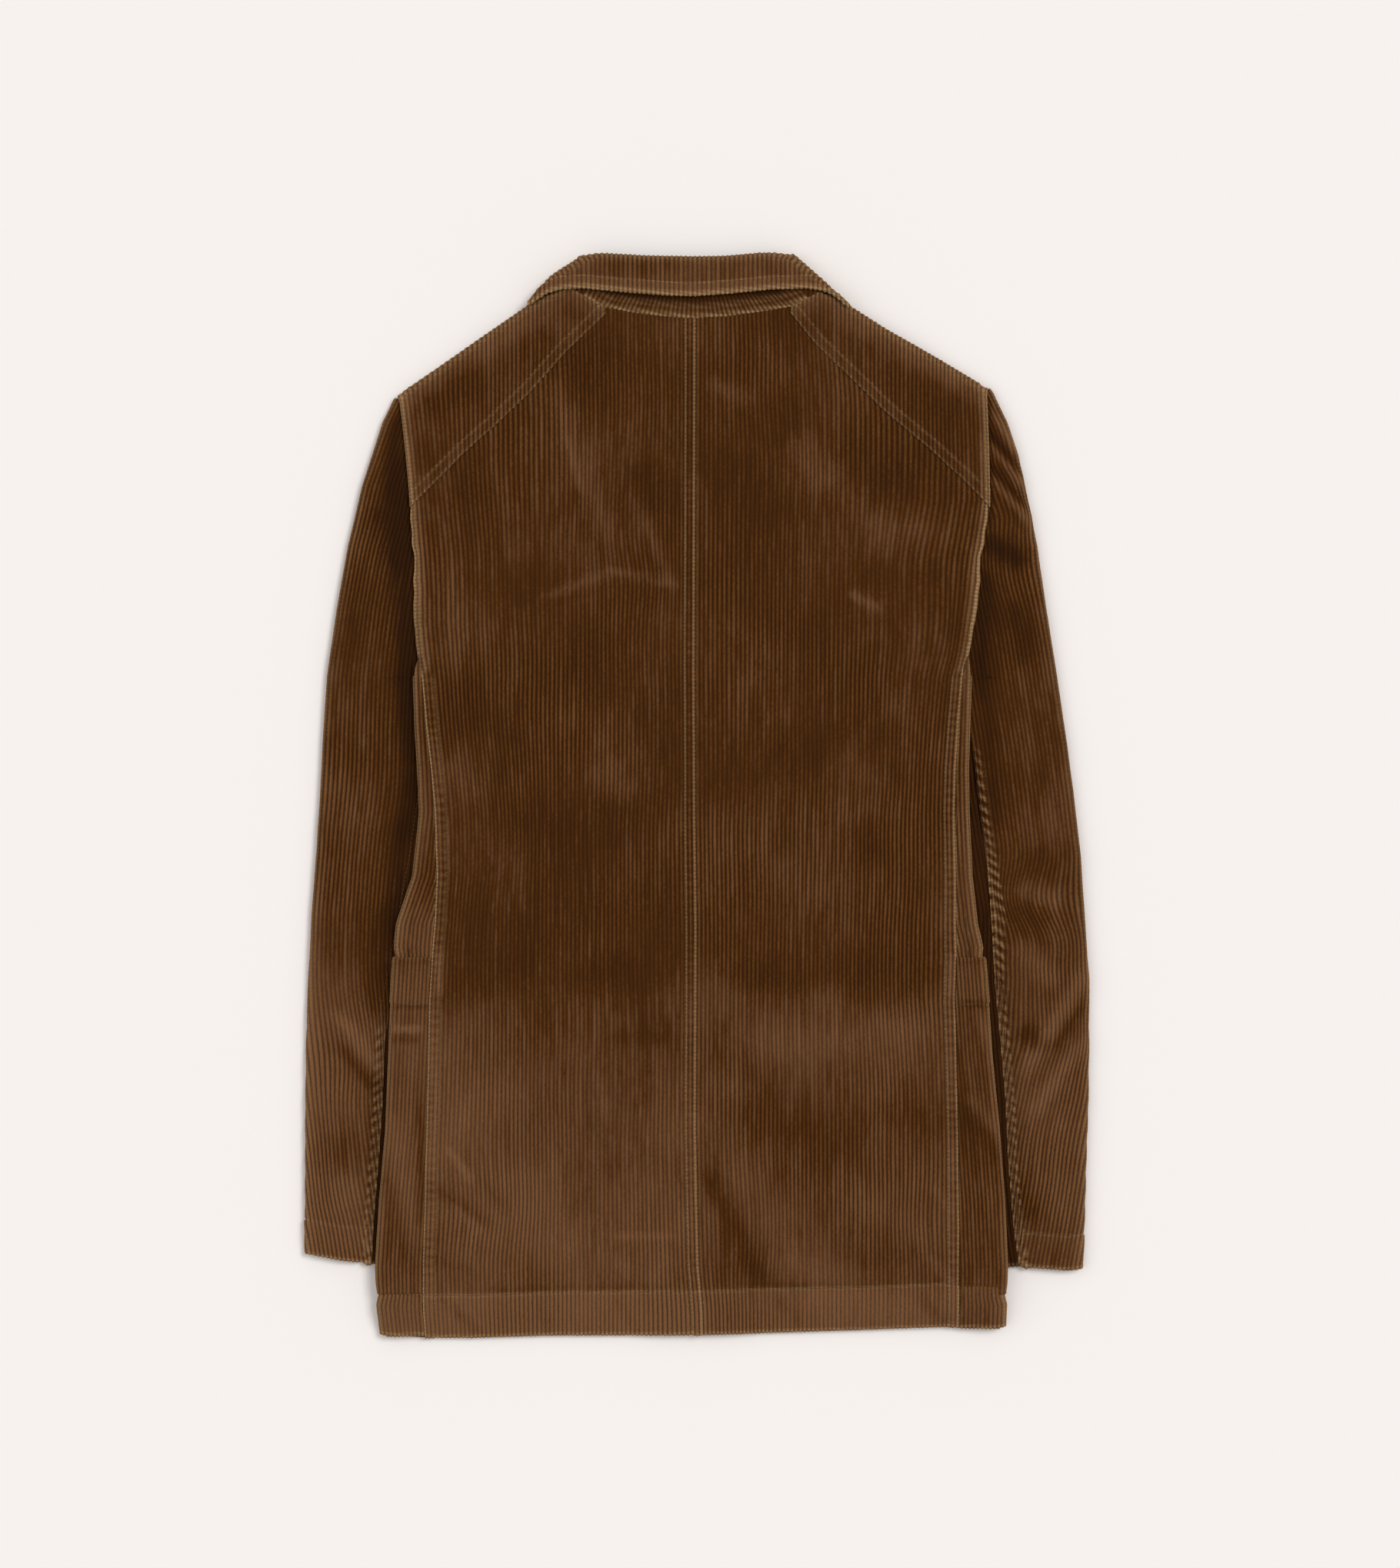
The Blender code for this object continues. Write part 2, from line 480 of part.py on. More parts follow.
def under_sleeve_points(side):
    """Net of the under sleeve: upper layer from the back seam, round the inner fold, floor layer."""
    sign = side["sign"]
    points = {}
    for j, y in enumerate(SLEEVE_ROWS):
        seam = column(side["sleeve"], 2, y) - sign * SEAM_GAP / 2
        fold = column(side["sleeve"], 3, y)
        floor_edge = column(side["sleeve"], 4, y) - sign * SEAM_GAP / 2
        half = (SLEEVE_LIFT - FLOOR_LAYER) / 2
        turn_x = fold + sign * (half + CLOTH / 2)
        i = 0
        for step in range(UNDER_UPPER_CELLS):
            x = seam + (turn_x - seam) * step / UNDER_UPPER_CELLS
            points[(i, j)] = (x, y, sleeve_height(side, x, y))
            i += 1
        for step in range(FOLD_CELLS + 1):
            angle = math.pi / 2 - math.pi * step / FOLD_CELLS
            points[(i, j)] = (turn_x - sign * half * math.cos(angle), y, FLOOR_LAYER + half * (1 + math.sin(angle)))
            i += 1
        for step in range(1, UNDER_LOWER_CELLS + 1):
            x = turn_x + (floor_edge - turn_x) * step / UNDER_LOWER_CELLS
            points[(i, j)] = (x, y, FLOOR_LAYER)
            i += 1
    set_cuff(side, points)
    return points, net_cells(i - 1, len(SLEEVE_ROWS) - 1)


COLLAR_FLAT_CELLS = 4
COLLAR_ROLL_CELLS = 3
TOP_STATIONS = BACK_NECK_CELLS + SHOULDER_BACK_CELLS


def collar_stations(side):
    """Fall of one half of the collar, from the middle of the back to its front end: edge point, roll point, outward."""
    sign = side["sign"]
    stations = []
    roll_end = np.array(side["fold"][0])
    edge_end = np.array(side["fold"][1])
    span = edge_end - roll_end
    normal = np.array((-span[1], span[0]))
    normal = normal / np.linalg.norm(normal)
    if normal[1] < 0:
        normal = -normal
    radius = (FALL_TOP - FALL_BOTTOM) / 2
    up = np.array((0.0, 0.0, 1.0))
    flat_normal = np.array((normal[0], normal[1], 0.0))
    for step in range(TOP_STATIONS):
        share = step / TOP_STATIONS
        edge = along(list(side["fall_edge"]) + [tuple(edge_end - normal * (radius + CLOTH / 2))], share)
        roll = along(list(side["roll"]) + [tuple(roll_end - normal * (radius + CLOTH / 2))], share)
        stations.append((np.array((edge[0], edge[1], FALL_TOP)), np.array((roll[0], roll[1] - CLOTH / 2, FALL_TOP)), up))
    for step in range(FOLD_CELLS + 1):
        angle = math.pi * step / FOLD_CELLS
        out = flat_normal * math.sin(angle) + up * math.cos(angle)
        edge = np.append(edge_end - normal * (radius + CLOTH / 2), FALL_BOTTOM + radius) + out * radius
        roll = np.append(roll_end - normal * (radius + CLOTH / 2), FALL_BOTTOM + radius) + out * radius
        stations.append((edge, roll, out))
    for step in range(1, NECK_CELLS + 1):
        share = step / NECK_CELLS
        flip = np.array((1.0 if sign < 0 else -FRONT_COLLAR_SHARE, 1.0))
        edge_line = [tuple(edge_end - normal * (radius + CLOTH / 2))] + [tuple(np.array(p) * flip) for p in LEFT_FALL_FRONT]
        roll_line = [tuple(roll_end - normal * (radius + CLOTH / 2))] + [tuple(np.array(p) * flip) for p in LEFT_ROLL_FRONT]
        edge = along(edge_line, share)
        roll = along(roll_line, share)
        stations.append((np.append(edge, FALL_BOTTOM), np.append(roll, FALL_BOTTOM), -up))
    return stations


def fall_section(edge, roll, out):
    """Middle points across the fall, from its edge to the turned-in roll."""
    width = np.linalg.norm(roll - edge)
    direction = (roll - edge) / width
    section = []
    for step in range(COLLAR_FLAT_CELLS + 1):
        section.append(edge + direction * (width - ROLL_RADIUS) * step / COLLAR_FLAT_CELLS)
    for step in range(1, COLLAR_ROLL_CELLS + 1):
        angle = 0.5 * math.pi * step / COLLAR_ROLL_CELLS
        turn = direction * ROLL_RADIUS * math.sin(angle) - out * ROLL_RADIUS * (1 - math.cos(angle))
        section.append(edge + direction * (width - ROLL_RADIUS) + turn)
    return section


def collar_net(sections_left, sections_right):
    """Joins two halves at the middle of the back into one net."""
    sections = list(reversed(sections_left)) + sections_right[1:]
    points = {}
    for i, section in enumerate(sections):
        for j, point in enumerate(section):
            points[(i, j)] = tuple(point)
    return points, net_cells(len(sections) - 1, len(sections[0]) - 1)


STAND_CELLS = 4
STAND_GAP = 0.6  # along the slant from the neck seam up to the stand


def stand_sections(side, front, back, stations):
    """Stand of one half of the collar: from the neck seam to just under the roll of the fall."""
    top_row = len(ROWS) - 1 + len(ARMHOLE_STEPS)
    seam_points = [back[(i, top_row)] for i in range(BACK_NECK_CELLS)]
    for step in range(SHOULDER_BACK_CELLS, -1, -1):
        seam_points.append(front[(NECK_CELLS, top_row + FOLD_CELLS + step)])
    for step in range(FOLD_CELLS - 1, -1, -1):
        seam_points.append(front[(NECK_CELLS, top_row + step)])
    neck_edge = [front[(i, top_row)] for i in range(NECK_CELLS, -1, -1)]
    middle = [point for point in neck_edge if abs(point[0]) > 3.0 and point[0] * side["sign"] > 0]
    after = neck_edge[len(middle)]
    share = (abs(middle[-1][0]) - 3.0) / abs(middle[-1][0] - after[0])
    neck_edge = middle + [tuple(np.array(middle[-1]) + (np.array(after) - np.array(middle[-1])) * share)]
    for step in range(1, NECK_CELLS + 1):
        seam_points.append(along(neck_edge, step / NECK_CELLS))
    sections = []
    for seam, (edge, roll, out) in zip(seam_points, stations):
        direction = (roll - edge) / np.linalg.norm(roll - edge)
        upper = roll - direction * 7.0 - out * (LAYER + 0.5)
        start = np.array(seam, dtype=float)
        away = upper - start
        away = away / np.linalg.norm(away)
        start = start + away * STAND_GAP
        sections.append([start + (upper - start) * step / STAND_CELLS for step in range(STAND_CELLS + 1)])
    sections[0][0][0] = seam_points[0][0]
    return sections


def pocket_points(front, normals, side):
    """Patch pocket laid on the front's own net, moved out by one layer."""
    sign = side["sign"]
    first_row = ROWS.index(POCKET_BOTTOM)
    last_row = ROWS.index(POCKET_TOP)
    last = NECK_CELLS + SHOULDER_CELLS + FOLD_CELLS + SIDE_BACK_CELLS
    first = 0
    while sign * front[(first, first_row)][0] < POCKET_INNER:
        first += 1
    points = {}
    for i in range(first, last + 1):
        for j in range(first_row, last_row + 1):
            points[(i, j)] = tuple(np.array(front[(i, j)]) + normals[(i, j)] * LAYER)
    return points, net_cells(last - first, last_row - first_row, start_column=first, start_row=first_row)


for old in list(bpy.data.objects):
    bpy.data.objects.remove(old, do_unlink=True)

CORDUROY = (0.075, 0.034, 0.014)
UNDERSIDE = (0.065, 0.030, 0.013)
HORN = (0.030, 0.016, 0.009)

built = {}
for side, word in ((LEFT, "left"), (RIGHT, "right")):
    turn = float(side["sign"])
    net, cells = front_points(side)
    verts, faces, normals = shell_mesh(net, cells, outward=-turn)
    mesh_object("front_" + word, verts, faces, CORDUROY, 0.9)
    built["front_" + word] = net
    pocket_net, pocket_cells = pocket_points(net, normals, side)
    verts, faces, _ = shell_mesh(pocket_net, pocket_cells, outward=-turn)
    mesh_object("pocket_" + word, verts, faces, CORDUROY, 0.9)
    back_net, back_cells = back_points(side)
    verts, faces, _ = shell_mesh(back_net, back_cells, outward=turn)
    mesh_object("back_" + word, verts, faces, CORDUROY, 0.9)
    built["back_" + word] = back_net
    sleeve_net, sleeve_cells = top_sleeve_points(side, net)
    verts, faces, _ = shell_mesh(sleeve_net, sleeve_cells, outward=turn)
    mesh_object("top_sleeve_" + word, verts, faces, CORDUROY, 0.9)
    under_net, under_cells = under_sleeve_points(side)
    verts, faces, _ = shell_mesh(under_net, under_cells, outward=-turn)
    mesh_object("under_sleeve_" + word, verts, faces, UNDERSIDE, 0.9)

halves = {}
for side, word in ((LEFT, "left"), (RIGHT, "right")):
    stations = collar_stations(side)
    fall = [fall_section(*station) for station in stations]
    stand = stand_sections(side, built["front_" + word], built["back_" + word], stations)
    halves[word] = (fall, stand)
net, cells = collar_net(halves["left"][0], halves["right"][0])
verts, faces, _ = shell_mesh(net, cells, outward=1.0)
mesh_object("collar", verts, faces, CORDUROY, 0.9)
net, cells = collar_net(halves["left"][1], halves["right"][1])
verts, faces, _ = shell_mesh(net, cells, outward=1.0)
mesh_object("collar_stand", verts, faces, UNDERSIDE, 0.9)

BUTTON_SIDES = 28
for name, height in zip(("button_lower", "button_middle", "button_upper"), BUTTON_HEIGHTS):
    radius = BUTTON_DIAMETER / 2
    ring = [(math.cos(2 * math.pi * k / BUTTON_SIDES), math.sin(2 * math.pi * k / BUTTON_SIDES)) for k in range(BUTTON_SIDES)]
    verts = [(c * radius, height + s * radius, 0.0) for c, s in ring]
    verts += [(c * radius, height + s * radius, BUTTON_THICKNESS) for c, s in ring]
    faces = [tuple(reversed(range(BUTTON_SIDES))), tuple(range(BUTTON_SIDES, 2 * BUTTON_SIDES))]
    for k in range(BUTTON_SIDES):
        after = (k + 1) % BUTTON_SIDES
        faces.append((k, after, after + BUTTON_SIDES, k + BUTTON_SIDES))
    mesh_object(name, verts, faces, HORN, 0.4)
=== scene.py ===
import math

import bmesh
import bpy
import numpy as np
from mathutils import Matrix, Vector
from mathutils.bvhtree import BVHTree


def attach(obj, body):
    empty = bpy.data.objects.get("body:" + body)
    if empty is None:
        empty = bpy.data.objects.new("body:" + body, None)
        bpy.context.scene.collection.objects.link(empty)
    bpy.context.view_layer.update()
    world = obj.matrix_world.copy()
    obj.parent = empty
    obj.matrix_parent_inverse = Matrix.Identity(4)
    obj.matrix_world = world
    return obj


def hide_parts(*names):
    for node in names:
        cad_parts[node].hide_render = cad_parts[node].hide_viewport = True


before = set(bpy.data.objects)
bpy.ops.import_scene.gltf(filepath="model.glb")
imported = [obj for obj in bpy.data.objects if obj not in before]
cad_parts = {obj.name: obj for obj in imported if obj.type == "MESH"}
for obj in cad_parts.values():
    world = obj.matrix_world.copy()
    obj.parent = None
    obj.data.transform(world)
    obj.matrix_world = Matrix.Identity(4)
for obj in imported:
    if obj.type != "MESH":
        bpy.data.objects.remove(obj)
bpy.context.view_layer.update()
print("packed jacket loaded")

layers = {  # how the layers of the jacket lie on each other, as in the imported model
    "originHeight": 399.85, "halfCloth": 0.9, "seamGap": 0.04, "seamSpace": 2.4, "layer": 2.1,
    "floor": 0.9, "foldSpace": 5.8, "flatSpace": 2.7, "foldReach": 30, "underarm": 487,
    "frontOverlap": 18, "overlapLift": 2.6, "sleeveUnderBody": 4.5, "sleeveLift": 3.3, "sleeveLoft": 6,
    "headLoft": 4.2, "pocketTop": 281, "pocketBottom": 34, "pocketInner": 74, "collarLift": 2.6,
    "fallTop": 12.6, "fallBottom": 0.9, "rollRadius": 3, "standGap": 0.6, "buttonLift": 2.9,
    "buttonHeights": (255, 370, 485),
}
ribs = {"pitch": 3.1, "height": 0.72, "base": 0.3, "columns": 6}  # raised lines of the corduroy

# Height, edge of the body, side-back seam.
leftBody = (
    (0, -233.3, -200.5), (23, -235.6, -201.6), (54, -236.7, -201.6), (102, -233.9, -200.5),
    (155, -229.4, -199.1), (208, -227.1, -198), (249, -225.4, -197.1), (281, -223.5, -195.2),
    (306, -221.4, -193.2), (341, -209.6, -191.5), (388, -204.6, -192.9), (419, -205.9, -195.6),
    (453, -207.9, -199.4), (487, -209, -202.2),
)
rightBody = (
    (0, 227.1, 192.6), (23, 227.4, 192.6), (54, 228.2, 192.6), (102, 226.2, 192.6), (155, 222.3, 192),
    (208, 216.9, 190.9), (249, 214.1, 189.8), (281, 211.6, 190.9), (306, 206.2, 190.3),
    (341, 202.5, 190.1), (388, 200.2, 189.3), (419, 199.6, 190), (453, 200.6, 192.2), (487, 201.8, 195),
)
# Height, armhole edge.
leftArmhole = (
    (487, -202.2), (504, -204.2), (525, -206.2), (550, -206.6), (575, -208.1), (594, -209.8),
    (617, -211.5), (634, -212.9), (650, -214.4), (666, -216.1), (682, -218), (695.7, -219.7),
)
rightArmhole = (
    (487, 195), (504, 198.8), (525, 202.2), (550, 205.9), (575, 208.6), (594, 211.8), (617, 215.2),
    (634, 214.9), (650, 214.6), (666, 214.1), (682, 213.5), (700.8, 212.7),
)
frontScoop = ((0, 0), (0.12, 17), (0.26, 19), (0.42, 17), (0.58, 13), (0.74, 8), (0.88, 3.5), (1, 0))
# Height, outer fold of the sleeve, back seam, fold under the body, forearm seam.
leftSleeve = (
    (56, -288.6, -239.8, -153, -196), (85, -289, -238.4, -150, -195), (131, -288.7, -234.6, -145, -194),
    (176, -288.7, -231.6, -139, -192), (221, -288.2, -229.9, -132, -190),
    (266, -286.5, -221.4, -125, -188), (312, -284.2, -212.9, -118, -187),
    (357, -280.8, -204.5, -112, -186), (402, -278, -198.2, -110, -186),
    (447, -275.7, -194.8, -124, -188), (487, -272.9, -196, -168, -196),
    (538, -265.5, -204.4, -204.4, -204.4), (583, -257.6, -206, -206, -206),
    (628, -246.9, -209, -209, -209), (651, -239.5, -211, -211, -211), (674, -232.2, -214, -214, -214),
    (693, -223, -216, -216, -216), (699, -219, -215, -215, -215),
)
rightSleeve = (
    (56, 284.1, 237, 150, 192), (85, 285.4, 232.6, 147, 191), (131, 286.5, 228.8, 143, 190),
    (176, 288.2, 226.9, 137, 188), (221, 288.7, 223, 130, 186), (266, 288.6, 218.6, 123, 185),
    (312, 285.5, 219.8, 116, 184), (357, 282.4, 212.6, 110, 183), (402, 277.4, 205, 108, 183),
    (447, 271.2, 200.6, 120, 185), (487, 265.2, 195, 160, 192), (538, 257.1, 201, 201, 201),
    (583, 250.8, 206.8, 206.8, 206.8), (617, 244, 212.2, 212.2, 212.2),
    (651, 236.7, 211.6, 211.6, 211.6), (674, 228.8, 210.6, 210.6, 210.6), (696, 218.4, 210, 210, 210),
    (704, 212.5, 208, 208, 208),
)
# Lines of distance from the middle and height.
leftRidge = (
    (-97, 776), (-110, 768.5), (-124.7, 760.8), (-151.9, 742.1), (-185.8, 718.9), (-219.7, 695.7),
)
rightRidge = (
    (92.5, 772.5), (104, 766.4), (112, 760.6), (118, 756.8), (141.1, 742.1), (182.4, 718.9),
    (212.7, 700.8),
)
leftShoulderSeam = (
    (-67.6, 759), (-97, 730.8), (-122.5, 701.9), (-147.3, 678.7), (-172.2, 656.7), (-194.3, 634),
    (-211.5, 617),
)
rightShoulderSeam = (
    (68.7, 759.6), (86.8, 737), (116.2, 708.7), (137.7, 687.8), (171.7, 659.5), (194.3, 638.6),
    (215.2, 617.1),
)
leftBackNeck = ((-0.8, 751.1), (-18, 751.8), (-37, 753.9), (-53, 756.4), (-67.6, 759))
rightBackNeck = ((-0.8, 751.1), (23.5, 752.6), (38, 754.6), (53.4, 757.1), (68.7, 759.6))
leftFrontNeck = ((-97, 776), (-91, 748), (-72, 716), (-40, 694), (0, 686), (18, 687))
rightFrontNeck = ((92.5, 772.5), (88, 748), (70, 716), (39, 694), (0, 686), (-18, 687))
hemLine = (
    (-234, 3.4), (-206, 0.8), (-165, 0.6), (-110, 2.3), (0, 2.8), (115, 6.2), (175, 8.6), (228, 9),
)
leftCuff = ((-289, 62.8), (-262, 57.7), (-236, 54.9), (-150, 54))
rightCuff = ((150, 54), (237, 53), (274, 50.3), (289, 52.5))
# Height, middle of the back.
backMiddle = (
    (0, 4.8), (23, 4.2), (54, 1.4), (102, 0.3), (155, -0.6), (306, 0), (388, -1.1), (487, -1.6),
    (751, -0.8),
)
# Folds: start, end, half width, height above the flat cloth.
leftFolds = (
    (-263.8, 232.5, -233, 192.9, 8, 1.5), (-272, 209.8, -241, 178, 7, -1.3),
    (-268, 268, -232, 226, 8, 1.2), (-276, 300, -236, 262, 10, -1), (-262, 505, -224, 455, 11, 1),
    (-258, 430, -222, 396, 9, -0.9), (-246, 640, -226, 560, 8, 1), (-270, 380, -240, 340, 10, 0.9),
    (-270, 140, -246, 100, 12, 0.7),
)
rightFolds = (
    (218, 680, 236, 652, 4, 1.8), (216, 668, 238, 640, 3.5, -1.4), (216, 658, 239, 628, 4, 1.8),
    (216, 644, 242, 614, 3.5, -1.4), (217, 634, 244, 600, 4.5, 1.6), (219, 618, 246, 588, 4, -1),
    (222, 563, 250, 572, 10, -1.6), (220, 530, 246, 545, 9, 1.2), (222, 480, 250, 500, 10, 0.8),
    (233, 289, 278, 362, 9, 1.5), (228, 311, 270, 334, 8, -1.5), (240, 396, 268, 440, 11, 0.9),
    (242, 200, 284, 266, 8, 2), (246, 184, 284, 240, 6, -1.4), (247, 166, 284, 218, 7, 1.4),
    (240, 130, 280, 180, 11, 0.8),
)
collarSpine = ((-108, 752), (-86, 722), (-52, 692), (0, 684), (52, 692), (86, 722), (108, 752))
# Fall of the collar: its lower edge and its upper outline, from left to right,
# and its course under the jacket.
fallEdge = (
    (-122.5, 760.2), (-116, 764.6), (-110, 767.8), (-99, 770.9), (-82.9, 771.5), (-52.3, 768.7),
    (-22.3, 766.2), (-0.8, 765.8), (23.5, 767.5), (53.4, 770.6), (80, 771.4), (89, 770.2), (96, 768.3),
    (101, 765.8), (105, 762.8), (110, 758.4),
)
fallRoll = (
    (-84.6, 798.8), (-76, 798.9), (-67.6, 798.6), (-37.6, 797), (-0.8, 796.4), (20, 796.8),
    (46.1, 798.9), (60, 799.2), (69.5, 800),
)
leftFallEdge = ((-0.8, 765.8), (-22.3, 766.2), (-52.3, 768.7), (-82.9, 771.5), (-99, 770.8))
leftRoll = ((-0.8, 796.4), (-37.6, 797), (-67.6, 798.6), (-76, 798.9))
rightFallEdge = ((-0.8, 765.8), (23.5, 767.5), (53.4, 770.6), (80, 771.4), (90, 769.6))
rightRoll = ((-0.8, 796.4), (20, 796.8), (46.1, 798.9), (60, 799.2))
fallFront = ((-117, 750), (-106, 726), (-88, 700), (-64, 676), (-38, 654))
rollFront = ((-72, 786), (-64, 758), (-48, 734), (-26, 718), (-5, 713))

left = {
    "word": "left", "sign": -1, "body": leftBody, "armhole": leftArmhole, "sleeve": leftSleeve,
    "ridge": leftRidge, "seam": leftShoulderSeam, "backNeck": leftBackNeck, "frontNeck": leftFrontNeck,
    "cuff": leftCuff, "folds": leftFolds, "fallEdge": leftFallEdge, "roll": leftRoll,
    "collarFold": ((-84.6, 798.8), (-122.5, 766.4)), "frontShare": 1,
}
right = {
    "word": "right", "sign": 1, "body": rightBody, "armhole": rightArmhole, "sleeve": rightSleeve,
    "ridge": rightRidge, "seam": rightShoulderSeam, "backNeck": rightBackNeck,
    "frontNeck": rightFrontNeck, "cuff": rightCuff, "folds": rightFolds, "fallEdge": rightFallEdge,
    "roll": rightRoll, "collarFold": ((69.5, 800), (107, 766.7)), "frontShare": 0.9,
}
for side in (left, right):
    side["outline"] = [(row[1], row[0]) for row in side["body"]]
    side["outline"] += [(row[1], row[0]) for row in side["armhole"][1:]]
    side["outline"] += list(reversed(side["ridge"]))[1:]

netRows = (0, 14, 34, 62, 96, 134, 172, 210, 246, 281, 312, 345, 385, 425, 458, 487)
armholeSteps = (0.12, 0.26, 0.42, 0.58, 0.74, 0.88, 1)
sleeveRows = (
    56, 72, 96, 122, 148, 172, 190, 208, 226, 246, 270, 290, 306, 322, 338, 354, 374, 402, 430, 458,
    487,
)
neckCells = 9
shoulderCells = 9
foldCells = 6


def smooth(value):
    value = np.clip(value, 0.0, 1.0)
    return value * value * (3.0 - 2.0 * value)


def across(table, index, height):
    rows = np.asarray(table, float)
    return np.interp(height, rows[:, 0], rows[:, index])


def lineAt(line, x):  # height of a line at a distance from the middle
    rows = np.asarray(sorted(line), float)
    return np.interp(x, rows[:, 0], rows[:, 1])


def bell(distance, reach):
    return np.exp(-((distance / reach) ** 2))


def lengthAlong(points):  # length from the start of a line to each of its points
    return np.concatenate(([0.0], np.cumsum(np.linalg.norm(np.diff(points, axis=0), axis=1))))


def along(line, share):  # points at shares of the length of a line
    points = np.asarray(line, float)
    travelled = lengthAlong(points)
    at = np.asarray(share) * travelled[-1]
    return np.stack([np.interp(at, travelled, points[:, axis]) for axis in range(points.shape[1])], -1)


def distanceTo(line, x, y):
    best = np.full(np.broadcast(x, y).shape, 1e9)
    for start, end in zip(line[:-1], line[1:]):
        spanX, spanY = end[0] - start[0], end[1] - start[1]
        forward = (x - start[0]) * spanX + (y - start[1]) * spanY
        share = np.clip(forward / (spanX ** 2 + spanY ** 2), 0.0, 1.0)
        best = np.minimum(best, np.hypot(x - start[0] - share * spanX, y - start[1] - share * spanY))
    return best


def unitRows(values):
    return values / np.maximum(1e-9, np.linalg.norm(values, axis=-1, keepdims=True))


def foldLift(folds, x, y):  # soft ridges and troughs that fade at their ends
    lift = np.zeros(np.broadcast(x, y).shape)
    for startX, startY, endX, endY, halfWidth, height in folds:
        spanX, spanY = endX - startX, endY - startY
        length = math.hypot(spanX, spanY)
        share = ((x - startX) * spanX + (y - startY) * spanY) / length ** 2
        offLine = ((x - startX) * spanY - (y - startY) * spanX) / length
        bump = height * bell(offLine, halfWidth)
        lift += bump * smooth((share + 0.25) / 0.4) * smooth((1.25 - share) / 0.4)
    return lift


def pocketShare(x, y):
    inward = smooth((np.abs(x) - layers["pocketInner"] + 34.0) / 30.0)
    upward = smooth((layers["pocketTop"] + 34.0 - y) / 30.0)
    return inward * upward * smooth((y - layers["pocketBottom"] + 30.0) / 26.0)


def sleeveShare(side, x, y):
    inner = np.abs(across(side["sleeve"], 3, np.minimum(y, layers["underarm"])))
    inward = smooth((np.abs(x) - inner + 66.0) / 46.0)
    return inward * smooth((layers["underarm"] + 86.0 - y) / 62.0) * smooth((y - 2.0) / 32.0)


def buttonLift(x, y):
    lift = np.zeros(np.broadcast(x, y).shape)
    for height in layers["buttonHeights"]:
        lift = np.maximum(lift, layers["buttonLift"] * smooth((76.0 - np.hypot(x, y - height)) / 48.0))
    return lift


def overlapShare(x):
    return smooth((56.0 - np.abs(x)) / 34.0)


def frontHeight(side, x, y):  # middle of the front on what lies under it
    collar = smooth((88.0 - distanceTo(collarSpine, x, y)) / 45.0)
    lift = layers["layer"] * pocketShare(x, y) + layers["sleeveUnderBody"] * sleeveShare(side, x, y)
    return layers["floor"] + lift + layers["collarLift"] * collar + buttonLift(x, y)


def rightRaised(side, x):  # the right front lies over the left one
    if side["sign"] < 0:
        return 0.0
    return layers["overlapLift"] * overlapShare(x) * (x < 56.0)


def backHeight(side, x, y):  # middle of the back on both fronts, held off them near a folded edge
    near = smooth(1.2 - distanceTo(side["outline"], x, y) / layers["foldReach"])
    space = layers["flatSpace"] + (layers["foldSpace"] - layers["flatSpace"]) * near
    return frontHeight(side, x, y) + layers["overlapLift"] * overlapShare(x) + space


def sleeveHeight(side, x, y):  # middle of the sleeve's upper layer
    under = y <= layers["underarm"]
    edge = np.where(under, np.abs(across(side["body"], 1, y)), np.abs(across(side["armhole"], 1, y)))
    higher = layers["headLoft"] - layers["sleeveLift"]
    low = layers["sleeveLift"] + higher * smooth((y - layers["underarm"]) / 50.0)
    free = smooth((np.abs(x) - edge - 2.0) / 24.0)
    return low + (layers["sleeveLoft"] - low) * free + foldLift(side["folds"], x, y) * free


def armholeDrop(side, x, y, toEdge):  # the edge of the back is sewn down to the sleeve
    space = backHeight(side, x, y) - sleeveHeight(side, x, y) - layers["seamSpace"]
    share = np.clip(toEdge / 9.0, 0.0, 1.0)
    return np.clip(space, 0.0, 8.0) * (1.0 - np.sqrt(share * (2.0 - share)))


def ridgeNormal(side):
    span = np.array(side["ridge"][-1]) - np.array(side["ridge"][0])
    normal = np.array((-span[1], span[0])) / np.linalg.norm(span)
    return normal if normal[1] > 0 else -normal


def softNoise(x, y, size, seed):  # smooth random field, from -1 to 1
    random = np.random.default_rng(seed).uniform(-1.0, 1.0, (64, 64))
    u, v = np.asarray(x) / size, np.asarray(y) / size
    column, row = np.floor(u).astype(int), np.floor(v).astype(int)
    partU, partV = smooth(u - column), smooth(v - row)

    def rowAt(number):
        first, second = random[column % 64, number % 64], random[(column + 1) % 64, number % 64]
        return first * (1 - partU) + second * partU

    return rowAt(row) * (1 - partV) + rowAt(row + 1) * partV


def ribShape(wale):
    return (0.5 - 0.5 * np.cos(2 * math.pi * wale)) ** 0.8


def ribRelief(wale, run):  # each raised line has its own height and small unevenness along it
    number = np.floor(wale)
    own = 0.06 * np.sin(number * 12.9898 + 4.1) + 0.05 * np.sin(run * 0.21 + number * 2.3)
    own = own + 0.07 * np.sin(run * 0.9 + number * 5.1) + 0.16 * np.sin(run * 0.031 + number * 0.11)
    return ribs["height"] * ribShape(wale) * (1.0 + own)


def rim(distance, width=2.2):  # share near an edge, fading over its width; it marks worn pile with painted sheen, raised edges and a darker top on the pockets
    return smooth((width - distance) / width)


